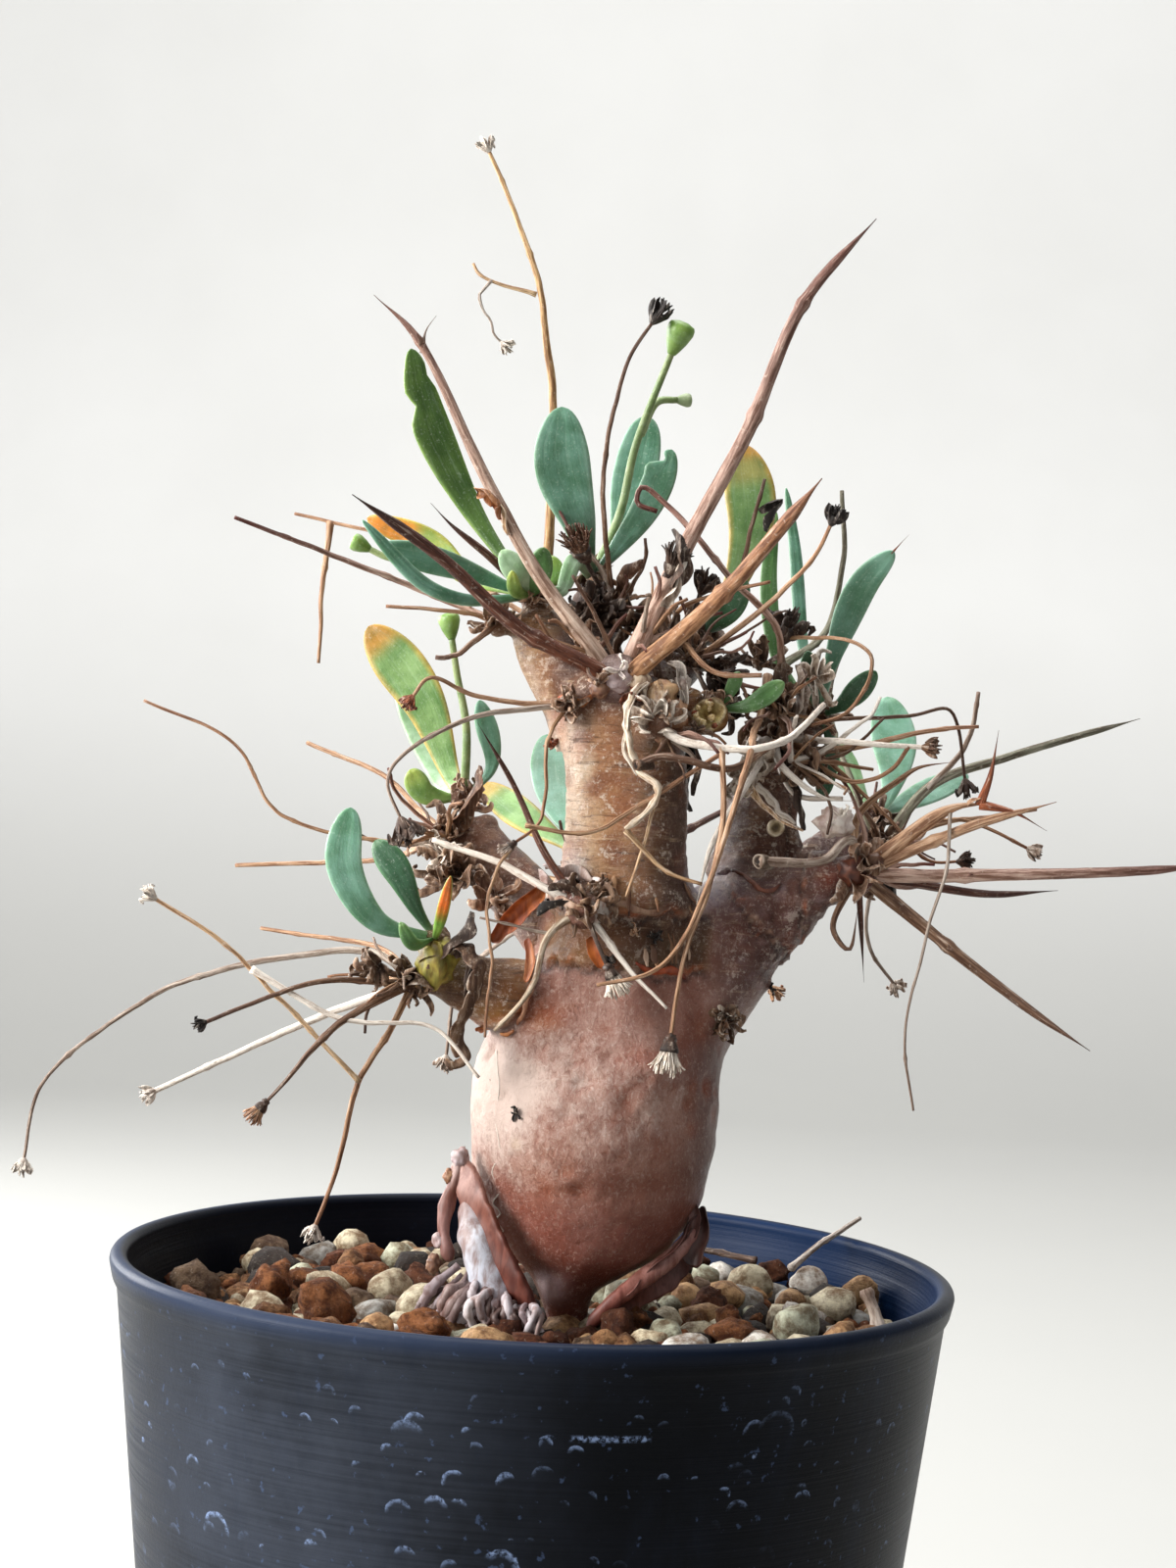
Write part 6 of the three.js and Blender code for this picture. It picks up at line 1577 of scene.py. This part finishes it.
# Lips of bark that lie on the skin: x and z along each, width and colours
LIPS = [
    ([(22.2, 140), (23.8, 139.4), (25.4, 138), (26.8, 137.5), (28.4, 138.6)], 0.7,
     ["#4e2a20", "#84503a", "#5e3226"]),
    ([(10.6, 128.4), (12.6, 127.2), (14.8, 127.4), (17, 126.4)], 1.3, ["#8a3c22", "#b4552c", "#6a3020"]),
    ([(-8.4, 119.2), (-6.8, 118.5), (-5.2, 118.4), (-3.8, 119.4)], 0.8, ["#a8622e", "#cf8a48", "#b8743a"]),
    ([(-3.4, 120), (-2.6, 121.6), (-2.2, 123.4), (-1.9, 125.4)], 0.8, ["#c08a66", "#d8ab8a", "#b07a58"]),
    ([(-2.6, 137), (-0.6, 135.4), (2, 135.2), (4.6, 134)], 1.5, ["#c8a890", "#d9c6b8", "#a98468"]),
    ([(4.6, 134), (8, 135.4), (11.6, 134.4), (15, 135.6)], 1.0, ["#8d6a50", "#a98a72", "#6a4834"]),
    ([(-0.4, 160.4), (2.4, 159.6), (4.6, 160.8)], 1.1, ["#b0562c", "#c8884c", "#8a4a2a"]),
    ([(-1.2, 139.8), (0.6, 138.7), (2.8, 138.9), (5, 138)], 1.7, ["#d2c4c2", "#efe6e0", "#c9b4a8"]),
    ([(4.8, 138.4), (6.2, 136.8), (6.8, 134.8)], 1.6, ["#e3d8d4", "#cdbab2", "#a48a7c"]),
    ([(-1.8, 138.4), (-1.6, 136.4), (-2.4, 134.6)], 1.4, ["#dccfcb", "#c4aca4", "#8f6c5a"]),
]

# A pale hair and a fine dark crack down the bole: x and z along each
HAIR = [(-5.8, 116.5), (-5.2, 112), (-5.7, 108), (-5.0, 104.6), (-5.6, 101.4), (-4.6, 99), (-5.2, 97.4),
        (-4.2, 96.4), (-4.9, 95.2), (-3.9, 94.4), (-4.3, 93), (-3.6, 92.2)]
CRACK = [(-6.4, 113), (-5.8, 109.6), (-6.2, 107), (-5.7, 104.4)]


def plain_tint(t, colours, draw, palest):
    """One of the colours all along a strip"""
    base = hue(draw.choice(colours))
    return np.column_stack([np.repeat([base], len(t), axis=0), np.full(len(t), draw.uniform(0, palest))])


def make_flaps(shape):
    """The peeled bark flaps and the pale fibrous strands that spread from under the left one"""
    for k, (route, widths, turn, looks, thick, curl, pale) in enumerate(FLAPS):
        sheet(shape, route, widths, turn, looks, thick, curl, 0.7 if thick < 1 else 0.35, 0.35, 3.7 * k, pale)
    draw = random.Random(SEEDS["flaps"])
    for place, size, look in KNUCKLES:
        knob(place, size, look, 1.7)(shape, draw)
    for k in range(COUNTS["strands"]):
        share = (k + draw.uniform(-0.9, 0.9)) / (COUNTS["strands"] - 1)
        foot = np.array([-13.6 + 14.6 * share, -10.2 - 4.2 * share, 83.4 - 0.6 * draw.random()])
        top = np.array([-9.4 + 9.4 * share, -8.6 - 3.2 * share, 89.4 - 4.0 * share + draw.uniform(-1.4, 1.4)])
        foot += [draw.gauss(0, 1.1), draw.gauss(0, 0.6), 0]
        bend = (top + foot) / 2 + [draw.gauss(0, 1.3), draw.uniform(-2.0, -0.4), draw.uniform(-0.2, 1.6)]
        centres, run, t = even([top, bend, foot], 0.3)
        radii = draw.uniform(0.2, 0.6) * (0.7 + 0.5 * np.sin(math.pi * t))
        radii = radii * (1 + 0.4 * ripple(centres, 1.2, k))
        tint = plain_tint(t, ["#b9b2b6", "#8f8184", "#cfc9cb", "#6d5a58", "#94807c", "#5a4844"], draw, 0.4)
        round_tube(shape, centres, run, radii, SIDES["strand"], "peel", tint, 0.4, k)


def make_collar(shape):
    """Thin scales that lift from the trunk's foot, and the orange bark behind and under it"""
    draw = random.Random(SEEDS["collar"])
    middle = np.array([8.7, -3.2, 0])
    for k in range(COUNTS["scales"]):
        turn = math.radians(draw.uniform(-190, 10))
        out = np.array([math.cos(turn), math.sin(turn), 0])
        level = draw.choice([128.2, 134.8, 134.8])
        low = level + draw.uniform(-0.8, 1.0)
        high = low + draw.uniform(1.6, 3.6)
        skin = 9.1 if level < 130 else 8.8
        steps = ((draw.uniform(0.2, 0.9), low), (0.1, (low + high) / 2), (-0.6, high))
        centres, _, t = even([middle + out * (skin + lift) + (0, 0, z) for lift, z in steps], 0.3)
        half = draw.uniform(0.15, 0.5) * (0.5 + 0.5 * np.sin(math.pi * t))
        half = half * (1 + 0.5 * ripple(centres, 1.4, k))
        ups = np.repeat([out], len(t), axis=0)
        colour = plain_tint(t, ["#a9805c", "#8d6a50", "#b59a84", "#7d5a40", "#5e4230"], draw, 0.3)
        blade(shape, centres, ups, half, half, 0.25, "peel", colour, crumple=0.25, rough=0.9, seed=5.0 * k)
    for route, widths, turn, looks, *rest in UNDER_BARK:
        sheet(shape, route, widths, turn, looks, 0.35, *rest)


def make_litter(shape, skin):
    """Loose dry bits that lie on the caudex, each set on the skin where a line from the front meets it"""
    draw = random.Random(SEEDS["litter"])

    def on_skin(x, z):
        hit = skin.ray_cast(Vector((x, -60, z)), Vector((0, 1, 0)))
        return np.array(hit[0]) if hit[0] else np.array([x, -10, z])

    for (x, z), size, look, count in BITS:
        away = (draw.uniform(-0.3, 0.3), -1, draw.uniform(-0.3, 0.3))
        tuft(on_skin(x, z), size, look, away, count)(shape, draw)
    for line, wide, looks in LIPS:
        route = [on_skin(x, z) - (0, 0.25, 0) for x, z in line]
        widths = [wide * share for share in (0.5, 1, 1.1, 1, 0.5)]
        sheet(shape, route, widths, 0.8, looks, 0.4, -0.5, 0.5, 0.7, line[0][0], 0.0)
    hair = [on_skin(x, z) - (0, 0.12, 0) for x, z in HAIR]
    stalk(hair, 0.16, 0.2, "white", wave=0.2, scales=0)(shape, draw)
    crack = [on_skin(x, z) + (0, 0.02, 0) for x, z in CRACK]
    stalk(crack, 0.1, 0.08, "litter", wave=0.25, scales=0)(shape, draw)


def make_peel(skin):
    loose = Shape()
    make_flaps(loose)
    make_collar(loose)
    make_litter(loose, skin)
    loose.make("caudex_peel", [], "bark")


def make_sprays():
    for name, (root, size, pieces, husks) in POINTS.items():
        shape = Shape()
        draw = random.Random(name)
        for grow in pieces:
            grow(shape, draw)
        if husks:
            tuft(root, size * 1.25, husks, (0.1, -0.6, 0.3), 18)(shape, draw)
        kind = "leaf" if name.startswith("shoot") else "thorn" if name.endswith("thorns") else "dry"
        shape.make(name + "_fine", [name], kind)


# The gravel: colour, how crumbly it is, and its share at the left and at the right
STONES = [
    ("#a2683f", 1.0, 6, 3), ("#7c4a30", 1.0, 4, 3), ("#b3845a", 0.9, 3, 2), ("#e2d8ba", 0.3, 4, 4),
    ("#c3c6ae", 0.3, 2, 3), ("#efebe2", 0.3, 1, 3), ("#a9a9a4", 0.2, 1, 2), ("#7d654e", 0.6, 3, 4),
    ("#3c322c", 0.6, 4, 5), ("#d2a878", 0.45, 2, 3),
]

# Grains that stand out: place on the bed, height over its level, radius, which stone and how flat
PEBBLES = [
    (32.7, -5.9, 2.6, 3.7, 4, 0.9), (24.2, -12.5, 2.0, 4.2, 0, 0.55), (16.8, -13.3, 1.6, 3.0, 4, 0.8),
    (27.6, -15.1, 1.4, 2.8, 5, 0.7), (36.7, 22, 2.2, 3.4, 5, 0.9), (28.7, 22, 2.2, 3.4, 3, 0.85),
    (43.2, 18, 2.2, 3.2, 9, 0.85), (38.4, -5.2, 1.2, 2.4, 5, 0.8), (-17.9, 3, 2.4, 3.2, 3, 0.85),
    (-21.8, -1.5, 1.6, 2.8, 7, 0.8), (-13.8, -4.6, 2.0, 3.4, 3, 0.8), (-32.9, -1.3, 3.0, 3.8, 0, 0.95),
    (-25.1, -12.3, 2.6, 3.9, 0, 0.9), (-18.2, -16.6, 1.2, 2.8, 9, 0.8), (-12.4, -17.4, 1.8, 3.6, 0, 0.75),
    (9.3, -19.9, 1.2, 2.8, 2, 0.7), (-6, -17, 1.0, 2.6, 3, 0.7), (3, -18.6, 1.0, 2.4, 1, 0.8),
]


def grain_points(sphere, size, crumbly, flat, draw):
    """A stone: a ball cut flat by a few planes, then roughened, squashed and turned"""
    radius = np.ones(len(sphere))
    for _ in range(COUNTS["facets"]):
        facing = np.maximum(sphere @ unit(scatter(draw)), 0.05)
        cut = draw.uniform(0.68, 0.97) / facing
        radius = (radius ** -9 + cut ** -9) ** (-1 / 9)
    seed = draw.uniform(0, 60)
    uneven = (0.09 + 0.22 * crumbly) * ripple(sphere, 1.5, seed) + 0.2 * crumbly * ripple(sphere, 4, seed)
    body = sphere * (radius * (1 + uneven))[:, None] * [1, draw.uniform(0.66, 0.95), flat] * size
    lean = Vector((draw.gauss(0, 0.3), draw.gauss(0, 0.3), 1))
    tip_over = np.array(Vector((0, 0, 1)).rotation_difference(lean).to_matrix())
    turn = draw.uniform(0, 2 * math.pi)
    spin = np.array([[math.cos(turn), -math.sin(turn), 0], [math.sin(turn), math.cos(turn), 0], [0, 0, 1]])
    return body @ spin.T @ tip_over.T


def add_grain(shape, ball, place, size, stone, flat, draw):
    colour, crumbly = STONES[stone][:2]
    body = grain_points(ball[0], size, crumbly, flat, draw) + place
    tint = np.repeat([[*(hue(colour) * draw.uniform(0.75, 1.15)), crumbly]], len(body), axis=0)
    shape.take(body, ball[1], "stone", tint, body)


def in_the_way(x, y, size):
    """True where a grain of the upper layer would hide the caudex's foot or a pebble"""
    covered = any(math.hypot(x - p[0], y - p[1]) < p[3] + size * 0.7 for p in PEBBLES)
    return covered or math.hypot(x - 6, y + 1) < 9


def make_gravel():
    """A bed of grains in two layers on dark soil, and the larger grains that stand out"""
    draw = random.Random(SEEDS["gravel"])
    low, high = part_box("gravel")
    reach, under = (high[0] - low[0]) / 2 / MM - 0.8, low[2] / MM
    step = GRAINS["spacing"]
    coarse, fine = unit_sphere(2), unit_sphere(3)
    bed, top = Shape(), Shape()
    rows = int(reach / step) + 2
    cells = [(i, j) for i in range(-rows, rows + 1) for j in range(-rows, rows + 1)]
    for layer, (lift, keep) in enumerate(((0.0, 1.0), (2.0, 0.55))):
        for i, j in cells:
            x = (i + 0.5 * (j % 2) + 0.5 * layer + draw.uniform(-0.3, 0.3)) * step
            y = (j * 0.87 + 0.4 * layer + draw.uniform(-0.3, 0.3)) * step
            size = draw.uniform(*GRAINS["sizes"])
            stone = draw.choices(range(len(STONES)), [s[2] if x < 2 else s[3] for s in STONES])[0]
            if draw.random() > keep or math.hypot(x, y) > reach - size or layer and in_the_way(x, y, size):
                continue
            place = [x, y, LEVEL + lift + draw.uniform(-0.5, 0.6)]
            ball = fine if layer and (y < 0 or STONES[stone][1] > 0.8) else coarse
            add_grain(top if layer else bed, ball, place, size, stone, draw.uniform(0.6, 0.85), draw)
    cells = [(i, j) for i in range(-2 * rows, 2 * rows + 1) for j in range(-2 * rows, 2 * rows + 1)]
    for cell in cells:
        x, y = [(k + draw.uniform(-0.4, 0.4)) * GRIT["spacing"] for k in cell]
        size = draw.uniform(*GRIT["sizes"])
        if math.hypot(x, y) < reach - size * 0.6:
            stone = draw.choices(range(len(STONES)), [s[2] for s in STONES])[0]
            add_grain(bed, coarse, [x, y, LEVEL + draw.uniform(-0.4, 1.1)], size, stone, 0.8, draw)
    for x, y, lift, size, stone, flat in PEBBLES:
        add_grain(top, fine, [x, y, LEVEL + lift], size, stone, flat, draw)
    section = ((0.5, under), (38, under), (reach, LEVEL - 1.0), (0.5, LEVEL - 1.0))
    bed.rings(np.array([circle(0, 0, radius, z, 96) for radius, z in section]), "soil", hue("#3a2a20"))
    stalk([[43.6, -3.5, 83], [42.6, -2, 86.4], [41.6, -1.5, 88.6]], 1.6, 1.5, "grey", scales=2)(top, draw)
    stalk([[34, 20, 87], [39, 26, 90], [44, 31, 92.4]], 0.9, 0.6, "silver")(top, draw)
    stalk([[30, 30, 86], [22, 34, 86.6], [17, 36, 86]], 0.9, 0.7, "dark")(top, draw)
    bed.make("gravel_bed", ["gravel"], "gravel")
    top.make("gravel_top", [], "gravel")


# The pot
def pot_profile():
    """Radius and height round the pot's section, from the middle of its underside"""
    low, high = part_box("pot")
    rim, tall = (high[0] - low[0]) / 2 / MM, high[2] / MM
    base, wall, lip, floor = POT["base"], POT["wall"], POT["lip"], POT["floor"]

    def at(z):
        return base + (rim - base) * z / tall

    profile = [(0.01, 0), (base - 1.2, 0), (base - 0.5, 0.2), (base - 0.1, 0.7), (at(1.4), 1.4)]
    profile += [(at(z) - POT["proud"], z) for z in np.linspace(3, tall - lip - 0.8, 12)]
    profile += [(at(tall - lip) - 0.2, tall - lip), (at(tall - lip) - 0.02, tall - lip + 0.4)]
    bead = wall / 2
    for angle in np.radians(np.linspace(-20, 200, 12)):
        profile.append((rim - bead + bead * math.cos(angle), tall - bead + bead * math.sin(angle)))
    profile += [(at(z) - wall - 0.2, z) for z in np.linspace(tall - lip, floor + 1, 10)]
    return [*profile, (base - wall - 1, floor), (0.01, floor)]


def make_pot():
    colour = hue("#23252d")
    shell = Shape()
    rings = [circle(0, 0, radius, z, POT["sides"], math.pi / 2) for radius, z in pot_profile()]
    shell.rings(np.array(rings), "pot", colour)
    pot = shell.make("pot_shell", ["pot"], "pot")
    drills = Shape()
    for turn in turns(POT["holes"]) + math.pi / POT["holes"]:
        x, y = POT["circle"] * math.cos(turn), POT["circle"] * math.sin(turn)
        rings = [circle(x, y, POT["hole"], z, 28) for z in (-2.0, POT["floor"] + 2.0)]
        drills.rings(np.array(rings), "pot", colour)
    drills = add_object("drills", np.vstack(drills.points) * MM, drills.faces)
    cut = pot.modifiers.new("holes", "BOOLEAN")
    cut.object = drills
    cut.solver = "EXACT"
    done = bpy.data.meshes.new_from_object(pot.evaluated_get(bpy.context.evaluated_depsgraph_get()))
    pot.modifiers.clear()
    pot.data = done
    bpy.data.objects.remove(drills)


# The room: floor, lights and camera
def make_room():
    """A floor that curves up behind the object into a wall"""
    bend, radius = ROOM["bend"], ROOM["radius"]
    section = [(ROOM["front"], 0.0), (bend, 0.0)]
    for angle in np.linspace(0.1, math.pi / 2, 12):
        section.append((bend + radius * math.sin(angle), radius - radius * math.cos(angle)))
    section.append((bend + radius, ROOM["height"]))
    points = np.array([(x, y, z) for y, z in section for x in (-ROOM["side"], ROOM["side"])])
    faces = [(2 * i, 2 * i + 1, 2 * i + 3, 2 * i + 2) for i in range(len(section) - 1)]
    floor = add_object("floor", points, faces)
    floor.data.polygons.foreach_set("use_smooth", [True] * len(faces))
    floor.data.materials.append(floor_material())


def lamp(name, place, aim, size, power, colour=(1, 1, 1)):
    data = bpy.data.lights.new(name, "AREA")
    data.energy = power
    data.size = size
    data.color = colour
    made = bpy.data.objects.new(name, data)
    made.location = place
    made.rotation_euler = (Vector(aim) - Vector(place)).to_track_quat("-Z", "Y").to_euler()
    bpy.context.scene.collection.objects.link(made)


def make_light():
    middle = (0.01, 0, 0.13)
    lamp("window", (-0.62, -0.22, 0.36), middle, 0.4, 10.5, (1.0, 0.985, 0.96))
    lamp("edge", (-0.5, 0.42, 0.3), middle, 0.35, 5)
    lamp("front_fill", (0.1, -1.4, 0.5), middle, 1.0, 2.2)
    lamp("top", (-0.05, 0.25, 1.0), middle, 0.6, 4.5)
    lamp("backdrop", (0, 0.3, 1.5), (0, 1.4, 0.42), 1.6, 25)
    world = bpy.data.worlds.new("sky")
    world.use_nodes = True
    sky = world.node_tree.nodes["Background"].inputs
    sky["Color"].default_value = (0.93, 0.95, 1.0, 1)
    sky["Strength"].default_value = 0.16
    bpy.context.scene.world = world
    bpy.context.scene.view_settings.view_transform = "Standard"


def make_camera():
    data = bpy.data.cameras.new("camera")
    data.sensor_width = CAMERA["sensor"]
    data.lens = CAMERA["focal"] * CAMERA["sensor"] / CAMERA["height"]
    data.clip_start = 0.01
    camera = bpy.data.objects.new("camera", data)
    camera.location = [c * MM for c in CAMERA["place"]]
    camera.rotation_euler = (math.pi / 2, math.radians(-CAMERA["roll"]), 0)
    bpy.context.scene.collection.objects.link(camera)
    bpy.context.scene.camera = camera


make_camera()
make_room()
make_light()
make_pot()
make_gravel()
make_peel(make_caudex())
make_sprays()
